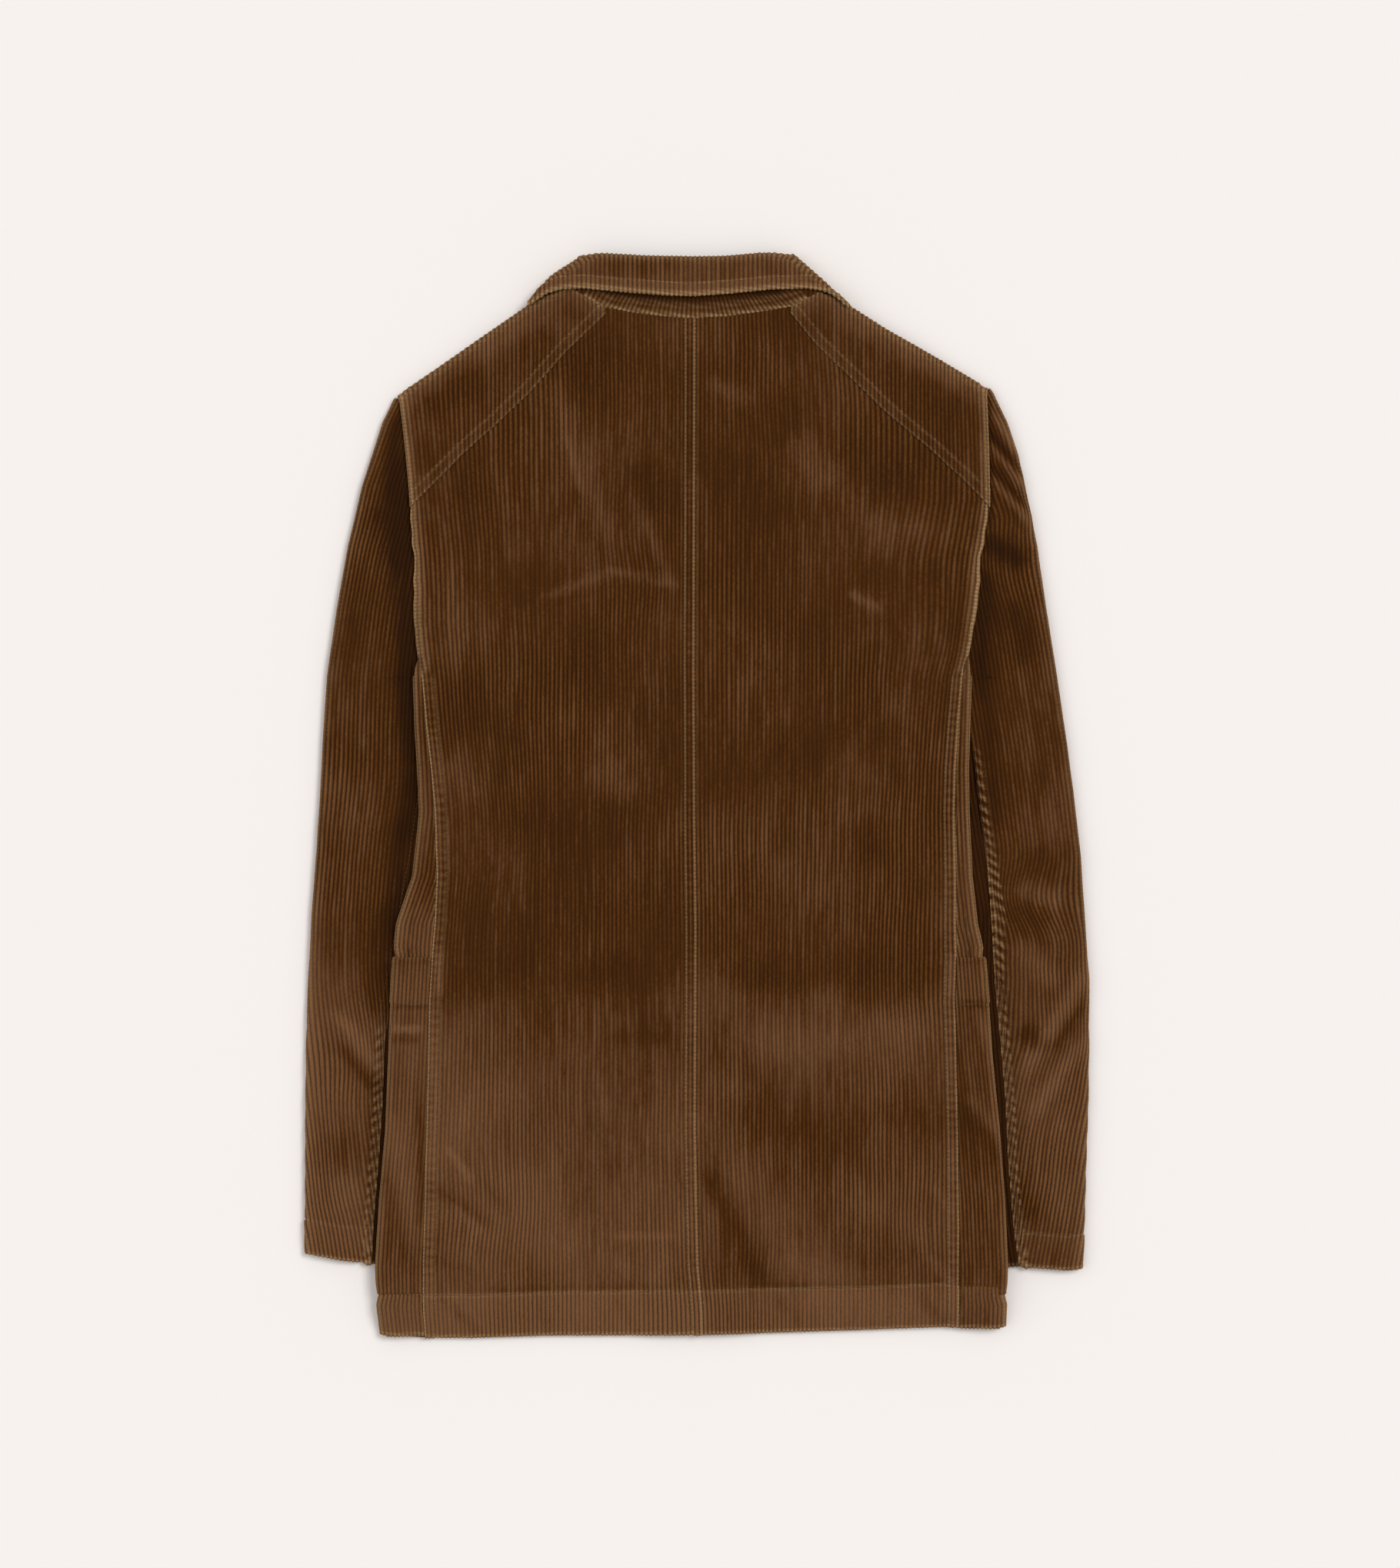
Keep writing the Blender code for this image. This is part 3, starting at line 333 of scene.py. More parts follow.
def bandShading(distance, band, travelled=0.0):  # cloth beside a seam: a lighter band as painted highlight, painted highlight and shade of its puckers, and lighter sewn lines of worn pile with painted sheen
    travelled = np.asarray(travelled)
    inside = smooth((band["width"] + 1.2 - distance) / 2.0)
    wave = 2 * math.pi * travelled / band["pucker"] + 1.3 * np.sin(travelled * 0.07)
    ladder = band.get("ladder", 0.0) * np.cos(wave)
    ladder = ladder * (0.7 + 0.3 * np.sin(travelled * 0.113 + 1.0))
    rows = sum(bell(distance - row, 0.75) for row in band["rows"])
    return (band["tone"] + ladder) * inside, rows


def swayAt(table, x, y):  # sideways drift of the raised lines: place, reach and amount
    drift = np.zeros(np.broadcast(x, y).shape)
    for placeX, placeY, reachX, reachY, amount in table:
        drift = drift + amount * np.exp(-(((x - placeX) / reachX) ** 2) - ((y - placeY) / reachY) ** 2)
    return drift


def seamBand(distance, travelled, band):
    lift = band["lift"] * smooth((band["width"] + 0.8 - distance) / 1.8) * smooth((distance + 1.0) / 1.4)
    for row in band["rows"]:
        pull = 1.0 + 0.35 * np.cos(2 * math.pi * travelled / band["stitch"])
        lift = lift - band["dip"] * pull * bell(distance - row, 0.85)
    puff = np.cos(2 * math.pi * travelled / band["pucker"] + 1.3 * np.sin(travelled * 0.07))
    half = band["width"] / 2
    return lift + band["puff"] * puff * bell(distance - half, half + 1.5)


def ropeTwist(travelled, distance):  # twisted look of the turned-down armhole edges
    return 0.3 * np.cos(2 * math.pi * travelled / shoulderPart["ropePitch"]) * bell(distance - 1.4, 1.3)


# painted highlight along the turned-down armhole edge
def armholeHighlight(travelled, distance):
    return (0.6 + 0.25 * softNoise(travelled, 0 * travelled, 24.0, 12)) * smooth((10.0 - distance) / 8.0)


def spreadTo(shape, *values):
    return [np.broadcast_to(np.asarray(value, float), shape) for value in values]


class Cloth:
    def __init__(self):
        self.places, self.marks, self.faces, self.count = [], [], [], 0

    def points(self, places, wale, run, ribbed, tone=0.0, rub=0.0):
        places = np.asarray(places, float)
        shape = places.shape[:-1]
        marks = np.stack(spreadTo(shape, wale, run, ribbed, tone, rub), -1)
        index = np.arange(self.count, self.count + int(np.prod(shape))).reshape(shape)
        self.places.append(places.reshape(-1, 3))
        self.marks.append(marks.reshape(-1, 5))
        self.count += index.size
        return index

    def weave(self, index):  # faces over a net of points
        corners = (index[:-1, :-1], index[1:, :-1], index[1:, 1:], index[:-1, 1:])
        self.faces += np.stack(corners, -1).reshape(-1, 4).tolist()
        return index

    def join(self, first, second):  # faces between two lines with different numbers of points
        everything = np.concatenate(self.places)
        first, second = np.asarray(first).ravel(), np.asarray(second).ravel()
        shares = []
        for line in (first, second):
            travelled = lengthAlong(everything[line])
            shares.append(travelled / max(1e-9, travelled[-1]))
        i = j = 0
        while i < len(first) - 1 or j < len(second) - 1:
            if j == len(second) - 1 or (i < len(first) - 1 and shares[0][i + 1] <= shares[1][j + 1]):
                face = [first[i], first[i + 1], second[j]]
                i += 1
            else:
                face = [first[i], second[j + 1], second[j]]
                j += 1
            if len(set(face)) == 3:
                self.faces.append([int(corner) for corner in face])

    def joinLayers(self, first, second):  # two parts of the same cloth, each as its outer and inner line
        self.join(first[0], second[0])
        self.join(first[1], second[1])
        self.join((first[0][0], second[0][0]), (first[1][0], second[1][0]))
        self.join((first[0][-1], second[0][-1]), (first[1][-1], second[1][-1]))


def netNormal(net):
    return unitRows(np.cross(np.gradient(net, axis=0), np.gradient(net, axis=1)))


def facing(middle):  # direction in which a net of middle points looks, mostly upwards
    normal = netNormal(middle)
    return -normal if normal[..., 2].sum() < 0 else normal


def heightRows(low, high, spacing, nearLow=(0.0,), nearHigh=(0.0,)):
    low, high = np.broadcast_arrays(np.asarray(low, float), np.asarray(high, float))
    length = high - low
    fit = np.minimum(1.0, 0.45 * length / max(nearLow[-1], nearHigh[-1], 1.0))[:, None]
    start = low[:, None] + fit * np.array(nearLow)
    end = high[:, None] - fit * np.array(nearHigh)[::-1]
    share = np.linspace(0.0, 1.0, max(2, int(np.ceil(length.max() / spacing))) + 1)[1:-1]
    return np.hstack((start, start[:, -1:] + (end[:, :1] - start[:, -1:]) * share, end))


# The hidden layer of a fine net keeps one in so many of its columns and rows
keptColumns = 12
keptRows = 4


def picks(count, step=keptColumns):
    return np.unique(np.concatenate((np.arange(0, count, step), [count - 1])))


# Rows that turn the outer face round an edge, as shares of half a turn
turnSteps = (0.26, 0.5, 0.72, 0.9)


# Fine net of cloth whose first rows may turn round an edge. Its outer face carries the raised lines.
def layPart(cloth, middle, wale, run, relief, tone, rub, turned=True, columns=None, normal=None):
    if normal is None:
        normal = facing(middle)
    proud = np.maximum(0.05, ribs["base"] + relief)
    outer = middle + normal * proud[..., None]
    shape = middle.shape[:2]
    wale, run, tone, rub = spreadTo(shape, wale, run, tone, np.clip(rub, 0.0, 1.0))
    if turned:
        outward = unitRows(middle[:, 0] - middle[:, 1])
        wraps = []
        for share in reversed(turnSteps):
            angle = math.pi * share
            reach = proud[:, 0] + (layers["halfCloth"] - proud[:, 0]) * smooth((share - 0.4) / 0.6)
            way = normal[:, 0] * math.cos(angle) + outward * math.sin(angle)
            wraps.append(middle[:, 0] + way * reach[:, None])
        wraps = np.stack(wraps, 1)
        count = len(turnSteps)
        outer = np.concatenate((wraps, outer), 1)
        spread = lambda values: np.concatenate((np.repeat(values[:, :1], count, 1), values), 1)
        before = np.array([3.0 * share for share in reversed(turnSteps)])
        run = np.concatenate((run[:, :1] - before, run), 1)
        wale, tone, rub = spread(wale), spread(tone), spread(rub)
    outerIndex = cloth.weave(cloth.points(outer, wale, run, 1.0, tone, rub))
    inner = middle - normal * layers["halfCloth"]
    grid = np.ix_(picks(shape[0]) if columns is None else columns, picks(shape[1], keptRows))
    shift = len(turnSteps) if turned else 0
    innerIndex = cloth.weave(cloth.points(inner[grid], wale[:, shift:][grid], run[:, shift:][grid], 0.0))
    return outerIndex, innerIndex


def layNet(cloth, middle, normal, wale, run):  # hidden cloth on the coarse net of the model
    outer = cloth.weave(cloth.points(middle + normal * layers["halfCloth"], wale, run, 0.0))
    inner = cloth.weave(cloth.points(middle - normal * layers["halfCloth"], wale, run, 0.0))
    return outer, inner


def closeSides(cloth, outer, inner, sides):
    whole = slice(None)
    lines = {"low": (whole, 0), "high": (whole, -1), "first": (0, whole), "last": (-1, whole)}
    for name in sides:
        cloth.join(outer[lines[name]], inner[lines[name]])


def clothObject(name, cloth, material):
    places = np.concatenate(cloth.places)
    places = (places - np.array((0.0, layers["originHeight"], 0.0))) * 0.001
    mesh = bpy.data.meshes.new(name)
    mesh.from_pydata(places.tolist(), [], cloth.faces)
    marks = np.concatenate(cloth.marks)
    for number, mark in enumerate(("wale", "run", "ribbed", "tone", "rub")):
        attribute = mesh.attributes.new(mark, "FLOAT", "POINT")
        attribute.data.foreach_set("value", np.ascontiguousarray(marks[:, number], dtype=np.float32))
    piece = bpy.data.objects.new(name, mesh)
    bpy.context.scene.collection.objects.link(piece)
    shell = bmesh.new()
    shell.from_mesh(mesh)
    bmesh.ops.remove_doubles(shell, verts=shell.verts, dist=1e-6)
    bmesh.ops.delete(shell, geom=[vert for vert in shell.verts if not vert.link_faces], context="VERTS")
    bmesh.ops.recalc_face_normals(shell, faces=shell.faces)
    for face in shell.faces:
        face.smooth = True
    shell.to_mesh(mesh)
    shell.free()
    mesh.materials.append(material)
    return piece


waleStep = ribs["pitch"] / ribs["columns"]
# raised bands beside seams; tone and ladder set painted highlight on the band and painted highlight and
# shade of its puckers
lapBand = {
    "width": 8, "lift": 0.6, "rows": (1.3, 8), "dip": 0.5, "stitch": 3, "pucker": 6.3, "puff": 0.3,
    "tone": 0.02, "ladder": 0.14,
}
sideBand = {
    "width": 8, "lift": 0.6, "rows": (8,), "dip": 0.5, "stitch": 3, "pucker": 6.3, "puff": 0.3,
    "tone": 0.3, "ladder": 0.22,
}
hemBand = {
    "width": 31, "lift": 0.6, "rows": (31,), "dip": 0.6, "stitch": 3.2, "pucker": 11, "puff": 0.15,
    "tone": 0.14,
}
cuffBand = {
    "width": 24.5, "lift": 0.6, "rows": (24.5,), "dip": 0.6, "stitch": 3.2, "pucker": 10, "puff": 0.18,
    "tone": 0.12,
}
shoulderBand = {
    "width": 7.6, "lift": 0.1, "rows": (1.2, 7.6), "dip": 0.4, "stitch": 2.9, "pucker": 5.6,
    "puff": 0.24, "tone": 0.06,
}
rollBand = {
    "width": 7, "lift": 0.9, "rows": (7,), "dip": 0.6, "stitch": 3, "pucker": 8.2, "puff": 1.1,
    "tone": 0.15, "ladder": 0.5,
}
cuffRows = (0, 1, 2.5, 5, 9, 14, 19, 22.6, 23.8, 25, 26.4)
hemRows = (0, 1, 2.5, 5, 10, 16, 22, 27, 29.2, 30.4, 31.4, 32.6, 34.5)


def seamTop(side, x):  # neck seam and shoulder seam as one line
    return lineAt(list(side["backNeck"]) + list(side["seam"])[1:], x)


backPanel = {
    "rows": 5, "fineRows": 1.4, "fineColumns": 21, "sway": 110, "wide": {"left": 200, "right": 192},
    # creases: start, end, half width, height above the flat cloth
    "leftFolds": (
        (-101, 735, -96, 560, 5, 0.8), (-92, 728, -88, 600, 5, -0.8), (-80, 735, -74, 560, 5, 0.8),
        (-66, 740, -60, 590, 5, -0.8), (-50, 737, -44, 610, 6, 0.7), (-36, 742, -34, 650, 5, -0.5),
        (-94.5, 674, -84, 624, 4, 0.8), (-44, 622, -20, 560, 4, 0.8), (-115, 546, -64, 564, 4, 0.8),
        (-64, 564, -17, 556, 4, 0.8), (-90, 536, -30, 540, 7, -0.6), (-170, 600, -150, 500, 9, 0.7),
        (-190, 560, -176, 470, 7, -0.7), (-160, 440, -120, 380, 14, 0.7),
        (-196, 100, -138, 82, 12, -1.4), (-198, 128, -150, 112, 11, 1), (-63, 74, -17, 76, 6, 1),
        (-196, 60, -160, 44, 8, 0.9), (-150, 300, -40, 292, 16, -0.8), (-180, 240, -30, 246, 15, 0.8),
    ),
    "rightFolds": (
        (6, 122, 44, 46, 9, -1.4), (26, 130, 66, 60, 9, 1), (112, 549, 134, 538, 4, 0.9),
        (60, 700, 66, 560, 7, 0.6), (78, 690, 84, 560, 6, -0.5), (96, 690, 100, 540, 7, 0.5),
        (150, 610, 186, 560, 9, 0.9), (136, 570, 184, 520, 10, -0.8), (40, 380, 90, 330, 15, 0.8),
        (186, 340, 130, 250, 12, 0.8), (182, 300, 150, 230, 8, -0.8), (40, 200, 150, 250, 14, 0.8),
        (110, 90, 186, 130, 12, -1), (120, 60, 188, 84, 8, 0.9), (20, 292, 180, 288, 14, -0.7),
    ),
    # sideways drift of the raised lines: place, reach and amount
    "leftDrift": (
        (-92, 640, 26, 46, 2.4), (-60, 600, 20, 40, -2), (-170, 560, 26, 50, 3),
        (-40, 560, 24, 20, 1.6), (-150, 100, 40, 26, 2.6), (-170, 300, 30, 40, -2),
    ),
    "rightDrift": (
        (160, 570, 26, 44, -4.6), (180, 528, 12, 34, 2.4), (60, 640, 30, 60, 2),
        (150, 280, 34, 46, -2.4), (40, 84, 24, 40, 2.2), (160, 90, 30, 26, -2),
    ),
    # painted light and shade of folds and creases, and lighter and darker nap: start, end, half width and
    # strength
    "leftShade": (
        (-189.5, 284, -189.5, 256, 4, 0.7), (-184, 141, -166, 117, 3.2, 0.5),
        (-178, 97, -160, 79, 3, 0.4), (-160, 118, -142, 98, 5, -0.25), (-100, 690, -64, 590, 8, 0.3),
        (-96, 664, -86, 626, 3, 0.5), (-46, 620, -20, 556, 5, 0.35), (-110, 547, -64, 564, 3.5, 0.4),
        (-64, 565, -16, 556, 3.5, 0.45), (-78, 660, -48, 650, 18, 0.22),
        (-40, 640, -30, 610, 12, -0.25), (-100, 735, -80, 700, 14, -0.2),
        (-182, 660, -160, 620, 16, -0.15), (-150, 640, -130, 560, 7, 0.16),
        (-184, 600, -178, 470, 5, 0.2), (-170, 480, -130, 420, 26, -0.18),
        (-72, 420, -50, 400, 12, 0.25), (-120, 470, -40, 500, 30, -0.12),
        (-180, 430, -160, 400, 16, 0.15), (-150, 385, -60, 380, 20, -0.15),
        (-190, 264, -30, 270, 16, -0.16), (-150, 300, -60, 296, 20, -0.12),
        (-60, 222, -20, 222, 8, -0.2), (-186, 200, -120, 60, 34, 0.2), (-120, 130, -90, 60, 20, 0.12),
        (-196, 112, -150, 84, 5, -0.3), (-196, 60, -165, 50, 4, -0.2), (-60, 75, -20, 76, 3, 0.4),
        (-150, 37, -40, 37, 3, -0.2), (-34, 40, -14, 90, 10, 0.25), (-90, 160, -60, 120, 22, -0.15),
        (-60, 60, -50, 48, 4, 0.2), (-190, 32, -162, 6, 4.5, -0.4), (-178, 34, -152, 12, 3, 0.3),
        (-60, 30, -46, 8, 4, -0.25), (-120, 26, -104, 8, 5, -0.15),
    ),
    "rightShade": (
        (186.6, 281, 186.6, 254, 3.6, 0.7), (8, 704, 40, 690, 6, 0.35), (20, 650, 36, 590, 20, -0.22),
        (70, 664, 96, 630, 14, 0.3), (104, 660, 150, 620, 20, -0.22), (120, 596, 186, 590, 20, 0.22),
        (112, 548, 134, 538, 4, 0.55), (40, 560, 60, 520, 20, -0.12), (70, 450, 96, 430, 22, -0.22),
        (150, 470, 176, 430, 20, 0.14), (60, 350, 86, 320, 20, 0.25), (120, 380, 136, 350, 12, -0.22),
        (100, 277, 184, 264, 15, -0.22), (20, 268, 80, 262, 10, -0.2), (40, 220, 150, 226, 14, 0.18),
        (10, 190, 40, 180, 8, 0.2), (8, 122, 46, 46, 9, -0.4), (24, 150, 120, 160, 26, -0.22),
        (60, 60, 120, 40, 14, 0.2), (110, 110, 180, 70, 12, 0.25), (140, 180, 186, 150, 16, -0.2),
        (60, 38, 186, 40, 3, -0.25), (90, 250, 150, 230, 8, 0.15), (60, 28, 76, 12, 4, -0.25),
        (160, 34, 182, 14, 4, -0.3), (170, 60, 186, 44, 4, 0.35), (174, 112, 186, 96, 4, 0.3),
    ),
    "lower": {"left": 0.48, "right": 0.3}, "below": 0.26, "hem": 0.34,
}


def backX(side, wide, distance, y):
    sign = side["sign"]
    seam = np.where(y <= layers["underarm"], across(side["body"], 2, y), across(side["armhole"], 1, y))
    seam = seam - sign * layers["seamGap"] / 2
    inner = across(backMiddle, 1, y) + sign * layers["seamGap"] / 2
    nearMiddle = smooth((60.0 - distance) / 60.0)
    nearSide = smooth((distance - wide + backPanel["sway"]) / backPanel["sway"])
    return sign * distance + inner * nearMiddle + (seam - sign * wide) * nearSide


def makeBack(side):
    sign, word = side["sign"], side["word"]
    wide = backPanel["wide"][word]
    count = int(round(wide / waleStep))
    fromMiddle = np.linspace(0.0, wide, count + 1)
    low = np.full(count + 1, 3.0)
    high = np.full(count + 1, 690.0)
    for _ in range(40):
        low = 0.5 * low + 0.5 * (lineAt(hemLine, backX(side, wide, fromMiddle, low)) + 1.0)
        top = seamTop(side, backX(side, wide, fromMiddle, high)) - layers["seamGap"] / 2
        high = 0.6 * high + 0.4 * top
    cloth = Cloth()
    ends = (0, backPanel["fineColumns"], count + 1 - backPanel["fineColumns"], count + 1)
    parts = []
    for number in range(3):  # middle seam, field, side seam
        part = slice(ends[number], ends[number + 1])
        distance = fromMiddle[part, None]
        spacing = backPanel["rows"] if number == 1 else backPanel["fineRows"]
        y = heightRows(low[part], high[part], spacing, hemRows, (0.0, 1.5, 3.0, 5.0))
        x = backX(side, wide, distance, y)
        inside = smooth(distance / 30.0) * smooth((wide - distance) / 24.0)
        drift = swayAt(backPanel[word + "Drift"], x, y) + 0.9 * softNoise(x, y, 46.0, 5)
        drift = drift + 1.1 * softNoise(x + 31.0, y, 120.0, 6)
        x = x + drift * inside * smooth((y - 34.0) / 30.0) * smooth((high[part, None] - y) / 30.0)
        creases = foldLift(backPanel[word + "Folds"], x, y) + 0.35 * softNoise(x, y, 34.0, 7)
        z = backHeight(side, x, y) + creases * smooth((y - 20.0) / 20.0)
        middle = np.stack((x, y, z), -1)
        wale = np.broadcast_to(distance / ribs["pitch"], x.shape)
        relief = ribRelief(wale, y)
        fromHem = y - low[part, None]
        toSide = wide - distance + 0 * y
        sideSeam = smooth((layers["underarm"] + 6.0 - y) / 10.0)
        lighter = backPanel["lower"][word] - backPanel["below"]
        tone = foldLift(backPanel[word + "Shade"], x, y) + lighter * smooth((250.0 - y) / 180.0)
        tone = tone + backPanel["below"] * smooth((282.0 - y + 12.0 * softNoise(x, 0 * y, 60.0, 9)) / 56.0)
        tone = tone + backPanel["hem"] * smooth((34.0 - fromHem) / 3.0)
        # worn pile with painted sheen along the hem, the side edge and the middle seam
        rub = rim(fromHem, 2.6) * 0.7 + rim(toSide, 2.4) * 1.1 + rim(distance + 0 * y, 1.2) * 0.5
        relief = relief + seamBand(toSide, y, sideBand) * sideSeam + seamBand(fromHem, x, hemBand)
        relief = relief + 0.4 * rim(toSide, 2.4) * sideSeam
        bandLight, bandWearAndSheen = bandShading(toSide, sideBand, y)
        tone, rub = tone + bandLight * sideSeam, rub + bandWearAndSheen * sideSeam * 0.6
        armhole = smooth((y - layers["underarm"]) / 8.0)
        wave = 0.9 * softNoise(y, 0 * y, 9.0, 11) * smooth((6.0 - toSide) / 6.0) * armhole
        middle[..., 0] += sign * (wave + 0.3 * smooth((6.0 - toSide) / 6.0) * armhole)
        relief = relief + (0.7 * smooth((4.2 - toSide) / 2.6) + ropeTwist(y, toSide)) * armhole
        middle[..., 2] -= armholeDrop(side, middle[..., 0], y, toSide) * armhole
        tone = tone + armholeHighlight(y, toSide) * armhole
        rub = rub + (rim(toSide, 3.4) + 0.35 * rim(toSide, 9.0)) * armhole
        if sign < 0:
            relief = relief + seamBand(distance + 0 * y, y, lapBand)
            bandLight, bandWearAndSheen = bandShading(distance + 0 * y, lapBand, y)
            tone, rub = tone + bandLight, rub + bandWearAndSheen * 0.6
        toTop = high[part, None] - y
        lapped = smooth((shoulderPart["lap"] + 1.6 - toTop) / 1.4) * (np.abs(x) > 66.0)
        relief = relief - (relief + 0.2) * lapped
        hemLight, hemWearAndSheen = bandShading(fromHem, hemBand)
        parts.append(layPart(cloth, middle, wale, y, relief, tone + hemLight, rub + hemWearAndSheen * 0.5))
    for first, second in zip(parts[:-1], parts[1:]):
        cloth.joinLayers((first[0][-1], first[1][-1]), (second[0][0], second[1][0]))
    for part, sides in zip(parts, (("low", "high", "first"), ("low", "high"), ("low", "high", "last"))):
        closeSides(cloth, *part, sides)
    return cloth


sidePart = {"rows": 5, "tone": {"left": 0.6, "right": 0.3}, "fullTo": 54, "runOut": 17}
shoulderPart = {
    "rows": 1.5, "lap": 5.4, "lapLift": 0.8, "foldRows": 14, "rounding": 1.6, "seamEnd": 617,
    "ropePitch": 2.8,
    # painted light and shade of folds and creases, and lighter and darker nap: start, end, half width and
    # strength
    "leftShade": (
        (-160, 722, -120, 748, 9, 0.3), (-200, 690, -150, 700, 12, -0.2), (-112, 752, -90, 740, 8, 0.3),
        (-206, 640, -196, 660, 10, -0.15),
    ),
    "rightShade": (
        (96, 750, 130, 740, 8, 0.22), (130, 712, 190, 672, 14, -0.12), (150, 728, 196, 702, 7, 0.25),
    ),
}


def frontEdge(side, y):  # where the front starts to turn round the side
    recess = smooth((layers["pocketTop"] + 8.0 - y) / 8.0)
    recess = recess * smooth((y - layers["pocketBottom"] + 8.0) / 8.0)
    inset = layers["foldSpace"] / 2 + layers["halfCloth"] + layers["layer"] * recess
    return across(side["body"], 1, y) - side["sign"] * inset


def frontNet(side):  # floor side of the front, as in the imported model
    sign = side["sign"]
    last = neckCells + shoulderCells
    inset = layers["foldSpace"] / 2 + layers["halfCloth"]
    net = np.zeros((last + 1, len(netRows) + len(armholeSteps), 3))
    for i in range(last + 1):
        share = i / last
        if i <= neckCells:
            top = along(side["frontNeck"], 1.0 - i / neckCells)
        else:
            top = along(side["ridge"], (i - neckCells) / shoulderCells)
        top = top - ridgeNormal(side) * (inset if i >= neckCells else 0.0)
        for j, height in enumerate(netRows):
            x = -sign * layers["frontOverlap"] * (1 - share) + share * frontEdge(side, height)
            net[i, j, :2] = x, max(height, float(lineAt(hemLine, x))) if j == 0 else height
        baseX = net[i, len(netRows) - 1, 0]
        for step, shareUp in enumerate(armholeSteps):
            scoop = np.interp(shareUp, *zip(*frontScoop)) * share ** 5
            net[i, len(netRows) + step, :2] = (baseX + (top[0] - baseX) * shareUp - sign * scoop,
                                               layers["underarm"] + (top[1] - layers["underarm"]) * shareUp)
    net[..., 2] = frontHeight(side, net[..., 0], net[..., 1]) + rightRaised(side, net[..., 0])
    return net


def stripWidth(side, y):  # flat width from the turn at the edge to the side-back seam
    start = across(side["body"], 1, y) - side["sign"] * (layers["foldSpace"] / 2 + layers["halfCloth"])
    return np.abs(start - across(side["body"], 2, y) - side["sign"] * layers["seamGap"] / 2)


def stripMiddle(side, arc, y, out=0.0):  # arc: length from the floor side of the turned edge
    sign = side["sign"]
    radius = layers["foldSpace"] / 2
    turn = math.pi * (radius + out)
    start = frontEdge(side, y)
    low = frontHeight(side, start, y)
    high = backHeight(side, start, y)
    half = (high - low) / 2
    angle = np.minimum(arc, turn) / (radius + out) - math.pi / 2
    flat = np.maximum(0.0, arc - turn)
    seam = across(side["body"], 2, y) + sign * layers["seamGap"] / 2
    scale = np.abs(start - seam) / stripWidth(side, np.maximum(y, sidePart["fullTo"]))
    x = start - sign * flat * scale + sign * (radius + out) * np.cos(angle) * (flat <= 0)
    z = np.where(flat > 0, backHeight(side, x, y) + out, low + half + (half + out) * np.sin(angle))
    return np.stack((x, y + 0 * x, z), -1)


def stripColumns(side, out=0.0):  # lines of the strip and the height at which the seam cuts each
    turn = math.pi * (layers["foldSpace"] / 2 + out)
    fullTo, level = sidePart["fullTo"], layers["underarm"]
    wide = float(stripWidth(side, fullTo))
    arc = np.linspace(0.0, turn + wide, int(round((turn + wide) / waleStep)) + 1)
    heights = np.linspace(fullTo, level, 600)
    widths = np.minimum.accumulate(stripWidth(side, heights)) - np.linspace(0.0, 1e-3, 600)
    top = np.interp(-(arc - turn), -widths, heights, left=fullTo, right=level)
    top = np.where(arc - turn <= widths[-1], level, top)
    # above the underarm the strip runs out into the armhole
    edge = abs(float(across(side["body"], 1, level)))
    seam = abs(float(across(side["body"], 2, level))) + layers["seamGap"] / 2
    peak = abs(float(across(side["armhole"], 1, level + sidePart["runOut"])))
    radius = turn / math.pi
    flatEnd = edge - radius - layers["halfCloth"]
    bend = (radius + layers["halfCloth"]) * np.sin(np.clip(arc / turn, 0.5, 1.0) * math.pi)
    reach = np.where(arc > turn, flatEnd - (arc - turn), flatEnd + bend)
    rise = np.clip(np.minimum((edge - reach) / (edge - peak), (reach - seam) / (peak - seam)), 0.0, 1.0)
    top = top + sidePart["runOut"] * rise * (arc - turn <= widths[-1]) * (arc > turn / 2)
    return arc, top, turn


def shoulderX(side, start, y):
    arm = across(side["armhole"], 1, np.maximum(y, shoulderPart["seamEnd"]))
    base = float(across(side["armhole"], 1, shoulderPart["seamEnd"]))
    near = smooth((np.abs(start) - abs(base) + 60.0) / 60.0)
    return start + (arm - base) * near


